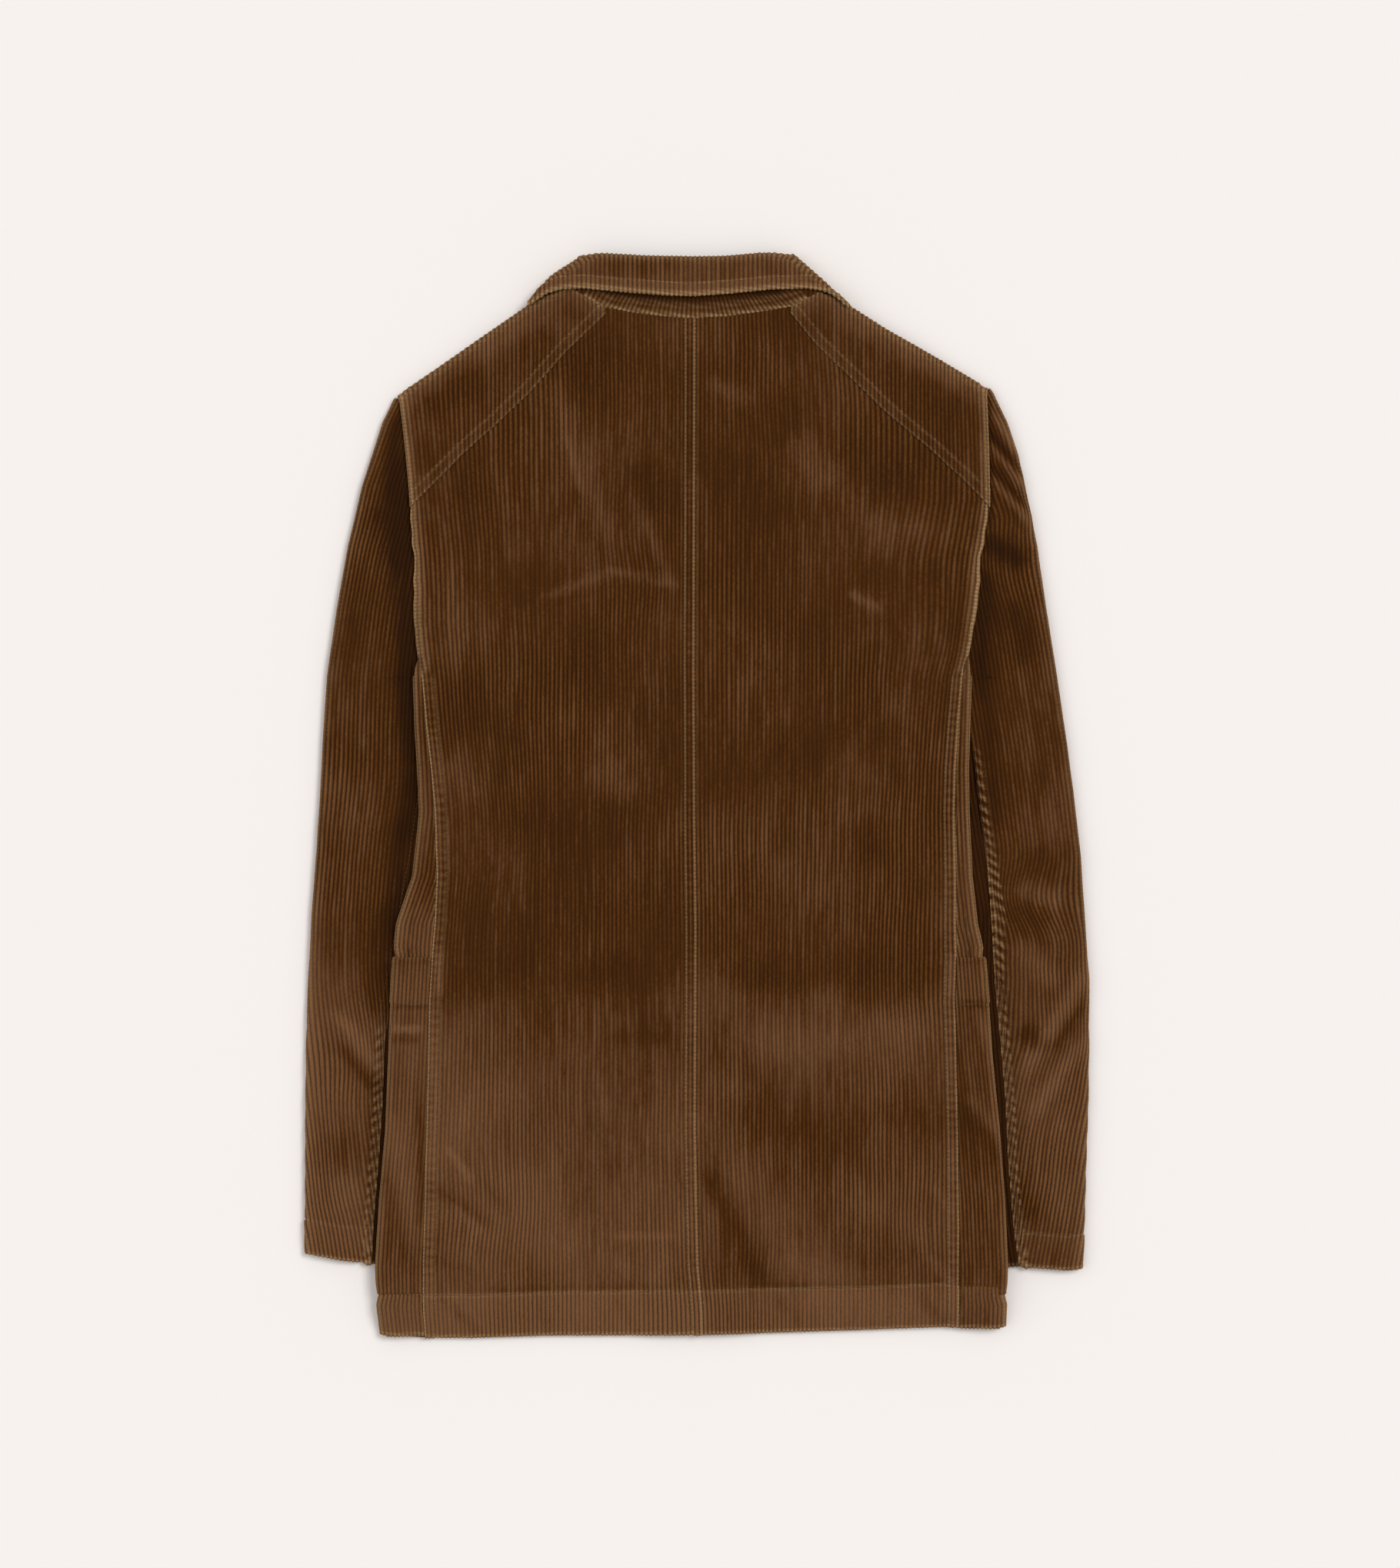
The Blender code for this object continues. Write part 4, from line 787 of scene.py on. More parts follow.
def makeFront(side):
    sign = side["sign"]
    word = side["word"]
    last = neckCells + shoulderCells
    cloth = Cloth()
    net = frontNet(side)
    normal = netNormal(net)
    normal = np.where(normal[..., 2:] > 0, -normal, normal)
    floorOuter, floorInner = layNet(cloth, net, normal, np.abs(net[..., 0]) / ribs["pitch"], net[..., 1])
    # side strip
    arc, top, turn = stripColumns(side)
    low = lineAt(hemLine, frontEdge(side, 3.0)) + 1.0 + 0 * arc
    y = heightRows(low, top, sidePart["rows"], hemRows, (0.0, 1.5, 4.0))
    place = arc[:, None]
    fromFold = place - turn / 2
    middle = stripMiddle(side, place, y)
    wale = place / ribs["pitch"] + 0 * y
    toSeam = np.abs(middle[..., 0] - across(side["body"], 2, y))
    relief = ribRelief(wale, y) - 0.25 * smooth((2.0 - toSeam) / 2.0) * (place > turn)
    fromHem = y - low[:, None]
    clear = 0.3 + 0.7 * smooth((place - turn * 0.8) / 5.0)
    relief = relief + seamBand(fromHem, place + 0 * y, hemBand) * clear
    relief = relief + 1.3 * smooth((31.4 - fromHem) / 1.8) * smooth((place - turn * 0.7) / 6.0)
    # painted highlight and sheen along the turned edge, worn pile with painted sheen beside the hem and
    # seam, and painted shading of the hem band
    hemLight, hemWearAndSheen = bandShading(fromHem, hemBand)
    rub = rim(fromHem, 2.6) * 0.7 + hemWearAndSheen * 0.5 + bell(fromFold, 3.2) * 0.8
    rub = rub + rim(toSeam, 1.6) * (place > turn) * 0.6
    tone = hemLight + sidePart["tone"][word] * smooth((350.0 - y) / 60.0) + 0.6 * bell(fromFold, 6.5)
    stripOuter, stripInner = layPart(cloth, middle, wale, y, relief, tone, rub)
    level = len(netRows) - 1
    cloth.joinLayers((stripOuter[0], stripInner[0]),
                     (floorOuter[last, :level + 1], floorInner[last, :level + 1]))
    closeSides(cloth, stripOuter, stripInner, ("low", "high", "last"))
    # shoulder, from its seam on the back over the ridge
    base = float(across(side["armhole"], 1, shoulderPart["seamEnd"]))
    neckX = abs(side["seam"][0][0])
    start = sign * np.linspace(neckX, abs(base), int(round((abs(base) - neckX) / waleStep)) + 1)
    ridgeDir = ridgeNormal(side)
    inset = layers["foldSpace"] / 2 + layers["halfCloth"]
    ridgeIn = [tuple(np.array(point) - ridgeDir * inset) for point in side["ridge"]]
    slope = (ridgeIn[1][1] - ridgeIn[0][1]) / (ridgeIn[1][0] - ridgeIn[0][0])
    ridgeIn = [(sign * 60.0, ridgeIn[0][1] + slope * (sign * 60.0 - ridgeIn[0][0]))] + ridgeIn
    neckEdge = [side["seam"][0], side["ridge"][0]]
    neckSlope = (neckEdge[1][1] - neckEdge[0][1]) / (neckEdge[1][0] - neckEdge[0][0])

    def topLine(x):
        neck = neckEdge[0][1] + neckSlope * (x - neckEdge[0][0]) - 1.0
        pastEnd = np.abs(x) - abs(side["ridge"][-1][0])
        rounding = shoulderPart["rounding"] * smooth((pastEnd + 9.0) / 9.0) ** 2
        return np.minimum(neck, lineAt(ridgeIn, x) - rounding)

    seamLine = side["seam"]
    lap = shoulderPart["lap"]
    bottom = np.full(start.shape, 650.0)
    high = np.full(start.shape, 730.0)
    for _ in range(60):
        bottom = 0.6 * bottom + 0.4 * (lineAt(seamLine, shoulderX(side, start, bottom)) - lap + 1.2)
        high = 0.6 * high + 0.4 * topLine(shoulderX(side, start, high))
    high = np.maximum(high, bottom + 1.5)
    y = heightRows(bottom, high, shoulderPart["rows"], (0.0, 0.9, 1.7, 2.6))
    x = shoulderX(side, start[:, None], y)
    below = (lineAt(seamLine, x) - y) * 0.72  # how far the cloth laps over the back
    lift = shoulderPart["lapLift"] * smooth((6.4 + below) / 3.4)
    toArm = np.abs(base) - np.abs(start)[:, None] + 0 * y
    flat = np.stack((x, y, backHeight(side, x, y) + lift - armholeDrop(side, x, y, toArm)), -1)
    edge = flat[:, -1]
    lowSide = frontHeight(side, edge[:, 0], edge[:, 1]) + 0 * edge[:, 0]
    full = smooth((np.abs(edge[:, 0]) - abs(side["ridge"][0][0])) / 8.0)
    half = 0.8 + ((edge[:, 2] - lowSide) / 2 - 0.8) * full
    radius = 0.5 + (layers["foldSpace"] / 2 - 0.5) * full
    angles = np.linspace(0.0, math.pi, shoulderPart["foldRows"] + 1)[1:]
    steep = math.tan(math.atan2(abs(ridgeDir[0]), ridgeDir[1]))
    lean = steep * smooth((abs(base) + 6.0 - np.abs(edge[:, 0])) / 24.0) * full
    ridgeAlong = np.array((-sign * ridgeDir[1], abs(ridgeDir[0])))
    rows = []
    for angle in angles:
        shift = ridgeDir * (radius * math.sin(angle))[:, None]
        shift = shift + ridgeAlong * (radius * angle * lean)[:, None]
        turnedZ = edge[:, 2] - half * (1 - math.cos(angle))
        rows.append(np.concatenate((edge[:, :2] + shift, turnedZ[:, None]), 1))
    middle = np.concatenate((flat, np.stack(rows, 1)), 1)
    run = np.concatenate((y, y[:, -1:] + np.array([3.0 * angle for angle in angles])), 1)
    wale = np.abs(start)[:, None] / ribs["pitch"] + 0 * run
    relief = ribRelief(wale, run)
    lapLine = [(point[0], point[1] - lap) for point in seamLine]
    fromEdge = distanceTo([(lapLine[0][0] * 0.8, lapLine[0][1] + 12.0)] + lapLine, x, y)
    travelled = np.hypot(x - seamLine[0][0], y - seamLine[0][1])
    tone, rub = np.zeros(run.shape), np.zeros(run.shape)
    relief[:, :y.shape[1]] += seamBand(fromEdge, travelled, shoulderBand)
    bandLight, bandWearAndSheen = bandShading(fromEdge, shoulderBand, travelled)
    tone[:, :y.shape[1]] = bandLight + foldLift(shoulderPart[word + "Shade"], x, y)
    rub[:, :y.shape[1]] = bandWearAndSheen * 0.45 + rim(fromEdge, 1.6) * 0.35
    # painted highlight and sheen towards the turn over the shoulder ridge, and painted highlight on the
    # armhole edge
    toRidge = np.maximum(0.0, run[:, y.shape[1] - 1][:, None] - run)
    tone = tone + 0.1 + 0.42 * smooth((20.0 - toRidge) / 20.0)
    rub = rub + 0.45 * smooth((5.0 - toRidge) / 7.0)
    armEdge = np.abs(base) - np.abs(start)[:, None] + 0 * run
    relief = relief + 0.5 * smooth((3.4 - armEdge) / 2.4) + ropeTwist(run, armEdge)
    tone = tone + armholeHighlight(run, armEdge)
    rub = rub + rim(armEdge, 3.4) * 0.9 + 0.3 * rim(armEdge, 9.0)
    outer, inner = layPart(cloth, middle, wale, run, relief, tone, rub)
    top = len(netRows) + len(armholeSteps) - 1
    joinFrom = int(np.argmax(np.abs(edge[:, 0]) > abs(side["ridge"][0][0]) + 1.0))
    innerFrom = int(np.searchsorted(picks(len(start)), joinFrom))
    cloth.joinLayers((outer[joinFrom:, -1], inner[innerFrom:, -1]),
                     (floorOuter[neckCells:, top], floorInner[neckCells:, top]))
    cloth.join(outer[:joinFrom + 1, -1], inner[:innerFrom + 1, -1])
    closeSides(cloth, outer, inner, ("low", "first", "last"))
    # free edges on the floor side
    whole = slice(None)
    for line in ((0, whole), (whole, 0), (slice(neckCells + 1), top), (last, slice(level, None))):
        cloth.join(floorOuter[line], floorInner[line])
    return cloth, net


pocket = {
    "rows": 5, "tone": {"left": 0.46, "right": 0.14},
    "topRows": (0, 1, 2.5, 6, 12, 20, 28, 31.4, 32.4, 33.4, 34.6),
    # painted light and shade of folds and creases, and lighter and darker nap: start, end, half width and
    # strength
    "leftShade": (
        (-236, 245, -198, 245, 2.6, -0.4), (-226, 230, -203, 228.5, 2.2, 0.8),
        (-226, 222, -204, 221, 3, -0.4), (-224, 160, -210, 80, 8, 0.25), (-205, 170, -201, 90, 4, -0.4),
        (-228, 120, -214, 60, 5, -0.2),
    ),
    "rightShade": (
        (194, 247, 226, 247, 2.6, -0.5), (206, 236, 222, 200, 5, 0.4), (222, 150, 200, 176, 6, 0.35),
        (196, 170, 204, 120, 6, -0.3), (200, 172, 220, 132, 7, -0.35), (214, 110, 222, 60, 4, 0.3),
    ),
    "band": {
        "width": 33, "lift": 0.5, "rows": (33,), "dip": 0.6, "stitch": 3.2, "pucker": 9, "puff": 0.15,
        "tone": 0.1,
    },
    "leftFolds": ((-232, 228, -204, 230, 4, -1), (-228, 236, -206, 240, 4, 0.7)),
    "rightFolds": ((224, 270, 200, 268, 4, 0.5), (222, 150, 200, 176, 7, 0.6)),
}


def makePocket(side):
    sign = side["sign"]
    cloth = Cloth()
    out = layers["layer"]
    arc, top, turn = stripColumns(side, out)
    bottom, ceiling = layers["pocketBottom"], layers["pocketTop"] - 1.0
    high = np.minimum(top, ceiling)
    y = heightRows(bottom + 0 * arc, high, pocket["rows"], (0.0, 2.0), pocket["topRows"])
    middle = stripMiddle(side, arc[:, None], y, out)
    wale = arc[:, None] / ribs["pitch"] + 0 * y
    fromTop = ceiling - y
    fromFold = arc[:, None] - turn / 2
    relief = ribRelief(wale, y) + seamBand(fromTop, arc[:, None] + 0 * y, pocket["band"])
    creases = foldLift(pocket[side["word"] + "Folds"], middle[..., 0], y)
    relief = relief + creases * (arc[:, None] > turn * 0.6)
    relief = relief - 0.7 * smooth((44.0 - y) / 10.0)
    # painted highlight and sheen along the turned edge and painted shading of the band; the hemmed top is
    # darker
    bandLight, bandWearAndSheen = bandShading(fromTop, pocket["band"])
    tone = pocket["tone"][side["word"]] + bandLight + 0.4 * bell(fromFold, 6.0)
    tone = tone + foldLift(pocket[side["word"] + "Shade"], middle[..., 0], y) - 0.3 * rim(fromTop, 8.0)
    rub = rim(fromTop, 2.0) * 0.12 + bandWearAndSheen * 0.3 + bell(fromFold, 3.2) * 0.8
    # the first rows turn round the hemmed top, so the net runs down from there
    downwards = [values[:, ::-1] for values in (middle, wale, y, relief, tone, rub)]
    outer, inner = layPart(cloth, *downwards, normal=facing(middle)[:, ::-1])
    net = frontNet(side)
    firstRow, lastRow = netRows.index(layers["pocketBottom"]), netRows.index(layers["pocketTop"])
    first = int(np.argmax(sign * net[:, firstRow, 0] >= layers["pocketInner"]))
    part = net[first:, firstRow:lastRow + 1][:, ::-1].copy()
    part[..., 2] -= out
    part[:, 0, 1] -= 1.0
    down = np.broadcast_to(np.array((0.0, 0.0, -1.0)), part.shape)
    floorOuter, floorInner = layNet(cloth, part, down, np.abs(part[..., 0]) / ribs["pitch"], part[..., 1])
    cloth.joinLayers((outer[0], inner[0]), (floorOuter[-1], floorInner[-1]))
    closeSides(cloth, outer, inner, ("low", "high", "last"))
    closeSides(cloth, floorOuter, floorInner, ("low", "high", "first"))
    return cloth


sleeve = {
    "rows": 2.1, "crown": {"left": 692, "right": 699}, "leanFrom": 305, "lean": 25, "under": 12,
    "seenUnder": 26,
    # sideways drift of the raised lines: height, reach and amount
    "leftSway": ((215, 34, 5), (420, 50, 3), (560, 40, -1.5), (110, 30, -2)),
    "rightSway": (
        (325, 22, 8), (292, 16, -3), (225, 30, -6), (560, 24, 3), (612, 22, -5), (655, 18, 5),
        (150, 26, 2),
    ),
    # painted light and shade of folds, painted shadow of the body beside the sleeve, and lighter and darker
    # nap: start, end, half width and strength
    "leftShade": (
        (-220, 680, -226, 620, 6, -0.7), (-216, 640, -212, 480, 12, -1),
        (-232, 610, -222, 570, 10, -0.5), (-212, 500, -210, 380, 9, -1),
        (-216, 380, -222, 300, 10, -0.8), (-226, 320, -236, 240, 9, -0.5),
        (-262, 236, -232, 196, 5, 0.7), (-262, 215, -240, 186, 5, -0.4),
        (-250, 420, -246, 380, 12, 0.15), (-284, 300, -286, 80, 9, 0.3), (-262, 120, -246, 70, 14, 0.3),
        (-236, 200, -240, 100, 5, -0.4), (-262, 150, -258, 120, 12, -0.2),
        (-268, 410, -250, 330, 14, 0.1),
    ),
    "rightShade": (
        (218, 680, 236, 652, 2.6, 0.7), (215, 668, 236, 640, 2.6, -0.8), (216, 658, 239, 628, 2.6, 0.6),
        (216, 644, 240, 614, 2.6, -0.7), (217, 634, 244, 600, 3, 0.6), (214, 690, 216, 600, 2.5, -0.5),
        (214, 586, 240, 572, 9, -0.9), (212, 560, 210, 480, 9, -0.9), (232, 540, 240, 500, 10, -0.4),
        (250, 620, 258, 560, 7, 0.3), (214, 470, 220, 380, 7, -0.5), (236, 330, 268, 322, 9, 0.5),
        (238, 292, 262, 262, 9, 0.45), (250, 360, 262, 344, 8, -0.2), (240, 228, 256, 214, 8, -0.6),
        (244, 202, 284, 268, 6, 0.7), (247, 168, 285, 220, 6, 0.55), (262, 214, 284, 246, 4, -0.35),
        (236, 120, 246, 90, 10, -0.3), (266, 120, 276, 70, 10, 0.2), (262, 400, 266, 300, 8, 0.2),
    ),
    "low": {"left": 0.52, "right": 0.34}, "rollTop": {"left": 236, "right": 440},
}


def sleeveTurn(side, y):  # where the upper layer starts to turn, and half the height of the turn
    sign = side["sign"]
    outer = across(side["sleeve"], 1, y)
    half = (sleeveHeight(side, outer - sign * 3.0, y) - layers["floor"]) / 2
    turnX = outer - sign * (half + layers["halfCloth"])
    half = (sleeveHeight(side, turnX, y) - layers["floor"]) / 2
    return turnX, half


def sleeveFloorEdge(side, net, y):
    edgeLine = net[-1, len(netRows) - 1:]
    gap = side["sign"] * layers["seamGap"]
    return np.where(y <= layers["underarm"], across(side["sleeve"], 4, y) + gap / 2,
                    np.interp(y, edgeLine[:, 1], edgeLine[:, 0]) + gap)


def sleeveLimits(side, net, y):
    sign = side["sign"]
    turnX, half = sleeveTurn(side, y)
    quarter = half * math.pi / 2
    seam = across(side["sleeve"], 2, y) + sign * layers["seamGap"] / 2
    inner = quarter + np.maximum(1.0, np.abs(turnX) - np.abs(seam))
    floorEdge = sleeveFloorEdge(side, net, y)
    outer = np.minimum(sleeve["under"], quarter + 0.5 * np.maximum(0.5, np.abs(turnX) - np.abs(floorEdge)))
    return inner, -outer


def sleeveShift(y):  # how far the raised lines lean below the elbow
    full = float(smooth((sleeve["leanFrom"] - sleeveRows[0]) / 420.0))
    return sleeve["lean"] * smooth((sleeve["leanFrom"] - y) / 420.0) / full


def sleeveMiddle(side, net, width, y):  # width: length from the sleeve's outermost line to the body
    sign = side["sign"]
    turnX, half = sleeveTurn(side, y)
    quarter = half * math.pi / 2
    _, outer = sleeveLimits(side, net, y)
    width = np.where(width < 0, width * -outer / sleeve["under"], width)
    angle = np.clip(width / half, -math.pi / 2, math.pi / 2)
    x = turnX + sign * half * np.cos(angle)
    x = np.where(width > quarter, turnX - sign * (width - quarter), x)
    x = np.where(width < -quarter, turnX - sign * (-width - quarter), x)
    z = np.where(width > quarter, sleeveHeight(side, x, y), layers["floor"] + half * (1 + np.sin(angle)))
    return np.stack((x, y + 0 * x, z), -1)


def makeTopSleeve(side, net):
    sign, word = side["sign"], side["word"]
    cloth = Cloth()
    split = sleeve["leanFrom"]
    crown = sleeve["crown"][word]
    heights = np.linspace(50.0, crown, 1600)
    innerLimit, _ = sleeveLimits(side, net, heights)
    shift = sleeveShift(heights)
    widest = heights[np.argmax(innerLimit)]
    rising = heights <= widest
    cutLow = np.maximum.accumulate((innerLimit - shift)[rising]) + np.linspace(0, 1e-3, rising.sum())
    cutHigh = np.minimum.accumulate(innerLimit[~rising]) - np.linspace(0, 1e-3, (~rising).sum())
    maximum = float(innerLimit.max()) - 1.2
    first = -sleeve["under"] - float(sleeveShift(62.0)) + 0.5
    wales = np.arange(math.ceil(first / waleStep), math.floor(maximum / waleStep) + 1) * waleStep

    def cuffHeight(wale):
        height = np.full(np.shape(wale), 57.0)
        for _ in range(30):
            x = sleeveMiddle(side, net, wale + sleeveShift(height), height)[..., 0]
            height = 0.5 * height + 0.5 * (lineAt(side["cuff"], x) + 1.0)
        return height

    cuff = cuffHeight(wales)
    seamCut = np.interp(wales, cutLow, heights[rising])
    low = np.maximum(cuff, np.where(wales > cutLow[0], seamCut, 0.0))
    shiftLine = sleeveShift(heights[heights <= split])[::-1]
    leftAt = np.interp(-sleeve["under"] - wales, shiftLine, heights[heights <= split][::-1])
    high = np.where(wales < -sleeve["under"], leftAt, crown)
    high = np.where(wales > cutHigh[-1], np.interp(-wales, -cutHigh, heights[~rising]), high)
    upperFrom = int(np.argmax(wales >= -sleeve["under"] - 1e-6))
    lowCount = int(np.argmax(low >= split)) if (low >= split).any() else len(wales)
    lower = slice(0, lowCount)
    upper = slice(upperFrom, len(wales))
    everyPick = np.union1d(picks(len(wales)), [upperFrom, lowCount - 1])
    yLow = heightRows(low[lower], np.minimum(high[lower], split), sleeve["rows"], cuffRows)
    yHigh = heightRows(np.maximum(low[upper], split), high[upper], sleeve["rows"], (0.0,), (0.0, 1.5, 3.5))

    def swayed(width, y):  # the raised lines drift sideways between the folded edge and the seam
        innerWidth, _ = sleeveLimits(side, net, y)
        share = np.clip((width - 1.0) / np.maximum(2.0, innerWidth - 1.0), 0.0, 1.0)
        amount = sum(drift * bell(y - height, reach) for height, reach, drift in sleeve[word + "Sway"])
        amount = (amount + 0.9 * softNoise(width * 1.3, y, 40.0, 8)) * 4.0 * share * (1.0 - share)
        return width + amount * smooth((crown - 30.0 - y) / 40.0) * smooth((y - 70.0) / 30.0)

    def swayedPlace(plain, y):
        return sleeveMiddle(side, net, swayed(plain, y), y)

    def layHalf(y, which, turned):
        plain = wales[which][:, None] + sleeveShift(y)
        width = swayed(plain, y)
        middle = sleeveMiddle(side, net, width, y)
        wale = wales[which][:, None] / ribs["pitch"] + 40.0 + 0 * y
        innerWidth, _ = sleeveLimits(side, net, y)
        toSeam = np.maximum(0.0, innerWidth - width)
        low = smooth((sleeve["rollTop"][word] - y) / 20.0)
        slant = y + 0.7 * toSeam
        relief = ribRelief(wale, y) * (1.0 - 0.35 * low * smooth((8.0 - toSeam) / 3.0))
        cuffLine = lineAt(side["cuff"], middle[..., 0]) + 1.0
        relief = relief + seamBand(y - cuffLine, middle[..., 0], cuffBand)
        relief = relief + seamBand(toSeam, slant, rollBand) * low
        tone = foldLift(sleeve[word + "Shade"], middle[..., 0], y)
        tone = tone + sleeve["low"][word] * smooth((330.0 - y) / 150.0)
        bandLight, _ = bandShading(toSeam, rollBand, slant)
        cuffLight, cuffWearAndSheen = bandShading(y - cuffLine, cuffBand)
        # painted highlight and sheen along the outer fold of the sleeve
        tone = tone + bandLight * low + cuffLight + 0.3 * bell(width - 3.0, 5.0)
        rub = rim(y - cuffLine, 2.6) * 0.7 + cuffWearAndSheen * 0.5 + np.clip(bandLight, 0.0, 0.5) * low
        rub = rub + rim(toSeam, 2.0) * 0.4 * low + 0.35 * bell(width - 1.0, 3.0)
        chosen = everyPick[(everyPick >= which.start) & (everyPick < which.stop)] - which.start
        step = 0.2
        aside = swayedPlace(plain + step, y) - swayedPlace(plain - step, y)
        upwards = swayedPlace(plain, y + step) - swayedPlace(plain, y - step)
        normal = unitRows(np.cross(aside, upwards))
        normal = -normal if normal[..., 2].sum() < 0 else normal
        return layPart(cloth, middle, wale, y, relief, tone, rub, turned, chosen, normal)

    outerLow, innerLow = layHalf(yLow, lower, True)
    outerHigh, innerHigh = layHalf(yHigh, upper, False)
    common = lowCount - upperFrom
    innerFrom = int(np.searchsorted(everyPick, upperFrom))
    innerCommon = int(np.searchsorted(everyPick, lowCount - 1)) - innerFrom + 1
    # floor layer
    rows = np.array(list(sleeveRows) + [float(value) for value in np.linspace(512.0, crown, 9)])
    turnX, half = sleeveTurn(side, rows)
    quarter = half * math.pi / 2
    _, outerLimit = sleeveLimits(side, net, rows)
    startX = turnX - sign * (-outerLimit - quarter)
    endX = sleeveFloorEdge(side, net, rows)
    endX = np.where(np.abs(endX) > np.abs(startX) - 0.6, startX - sign * 0.6, endX)
    share = np.linspace(0.0, 1.0, 6)[:, None]
    x = startX + (endX - startX) * share
    y = rows + 0 * x
    y[:, 0] = lineAt(side["cuff"], x[:, 0])
    floor = np.stack((x, y, np.full(x.shape, layers["floor"])), -1)
    down = np.broadcast_to(np.array((0.0, 0.0, -1.0)), floor.shape)
    floorOuter, floorInner = layNet(cloth, floor, down, np.abs(x) / ribs["pitch"], y)
    outerLine = np.concatenate((outerLow[0], outerLow[1:upperFrom + 1, -1], outerHigh[0, 1:]))
    innerLine = np.concatenate((innerLow[0], innerLow[1:innerFrom + 1, -1], innerHigh[0, 1:]))
    cloth.joinLayers((outerLine, innerLine), (floorOuter[0], floorInner[0]))
    cloth.join(np.concatenate((outerLow[:, 0], outerLow[-1, 1:], outerHigh[common:, 0])),
               np.concatenate((innerLow[:, 0], innerLow[-1, 1:], innerHigh[innerCommon:, 0])))
    cloth.join(outerHigh[-1], innerHigh[-1])
    cloth.join(outerHigh[:, -1], innerHigh[:, -1])
    closeSides(cloth, floorOuter, floorInner, ("low", "high", "last"))
    return cloth


def makeUnderSleeve(side):
    sign = side["sign"]
    cloth = Cloth()
    wide = sleeve["seenUnder"]
    away = np.linspace(0.0, wide, int(round(wide / waleStep)) + 1)
    low = lineAt(side["cuff"], across(side["sleeve"], 2, sleeveRows[0]) - sign * away) + 1.0
    y = heightRows(low, layers["underarm"] + 0 * away, 6.0, cuffRows)
    x = across(side["sleeve"], 2, y) - sign * (layers["seamGap"] / 2 + away[:, None])
    middle = np.stack((x, y, sleeveHeight(side, x, y)), -1)
    wale = away[:, None] / ribs["pitch"] + 0 * y
    relief = ribRelief(wale, y) + seamBand(y - low[:, None], x, cuffBand)
    # tone -0.8: painted shade on the strip of under sleeve beside the body
    outer, inner = layPart(cloth, middle, wale, y, relief, -0.8, rim(y - low[:, None], 2.6) * 0.4)
    rows = np.array(sleeveRows)
    seam = across(side["sleeve"], 2, rows) - sign * (layers["seamGap"] / 2 + wide)
    half = (layers["sleeveLift"] - layers["floor"]) / 2
    turnX = across(side["sleeve"], 3, rows) + sign * (half + layers["halfCloth"])
    seam = np.where(np.abs(seam) < np.abs(turnX) + 0.6, turnX + sign * 0.6, seam)
    floorEdge = across(side["sleeve"], 4, rows) - sign * layers["seamGap"] / 2
    xs, zs = [], []
    for step in range(5):
        xs.append(seam + (turnX - seam) * step / 5)
        zs.append(sleeveHeight(side, xs[-1], rows))
    for step in range(foldCells + 1):
        angle = math.pi / 2 - math.pi * step / foldCells
        xs.append(turnX - sign * half * math.cos(angle))
        zs.append(layers["floor"] + half * (1 + math.sin(angle)) + 0 * rows)
    for step in range(1, 5):
        xs.append(turnX + (floorEdge - turnX) * step / 4)
        zs.append(layers["floor"] + 0 * rows)
    xs, zs = np.array(xs), np.array(zs)
    ys = rows + 0 * xs
    ys[:, 0] = lineAt(side["cuff"], xs[:, 0])
    rest = np.stack((xs, ys, zs), -1)
    normal = facing(rest[:5])
    full = netNormal(rest)
    full = full if full[0, 0, 2] * normal[0, 0, 2] > 0 else -full
    restOuter, restInner = layNet(cloth, rest, full, np.abs(xs) / ribs["pitch"], ys)
    cloth.joinLayers((outer[-1], inner[-1]), (restOuter[0], restInner[0]))
    closeSides(cloth, outer, inner, ("low", "high", "first"))
    closeSides(cloth, restOuter, restInner, ("low", "high", "last"))
    return cloth


collar = {
    "bulge": {"left": 3.4, "right": 0}, "pitch": 3.4, "rows": 2, "tone": 0.42, "corner": 4.4,
    "shade": (
        (-70, 786, -20, 790, 6, -0.2), (40, 790, 66, 784, 7, -0.2), (-110, 774, -90, 780, 5, 0.2),
    ),
    "band": {
        "width": 8.5, "lift": 0.35, "rows": (8.5,), "dip": 0.6, "stitch": 3, "pucker": 6.8, "puff": 0.2,
        "tone": 0.3,
    },
}


def sidePoints(side):  # edge and roll of the fall on the floor side, from the side fold to the front end
    rollEnd, edgeEnd = np.array(side["collarFold"][0]), np.array(side["collarFold"][1])
    span = edgeEnd - rollEnd
    normal = np.array((-span[1], span[0])) / np.linalg.norm(span)
    normal = normal if normal[1] > 0 else -normal
    radius = (layers["fallTop"] - layers["fallBottom"]) / 2
    inset = normal * (radius + layers["halfCloth"])
    flip = np.array((1.0 if side["sign"] < 0 else -side["frontShare"], 1.0))
    edgeLine = [tuple(edgeEnd - inset)] + [tuple(np.array(point) * flip) for point in fallFront]
    rollLine = [tuple(rollEnd - inset)] + [tuple(np.array(point) * flip) for point in rollFront]
    share = np.linspace(0.0, 1.0, neckCells + 1)
    return along(edgeLine, share), along(rollLine, share), normal, radius, inset


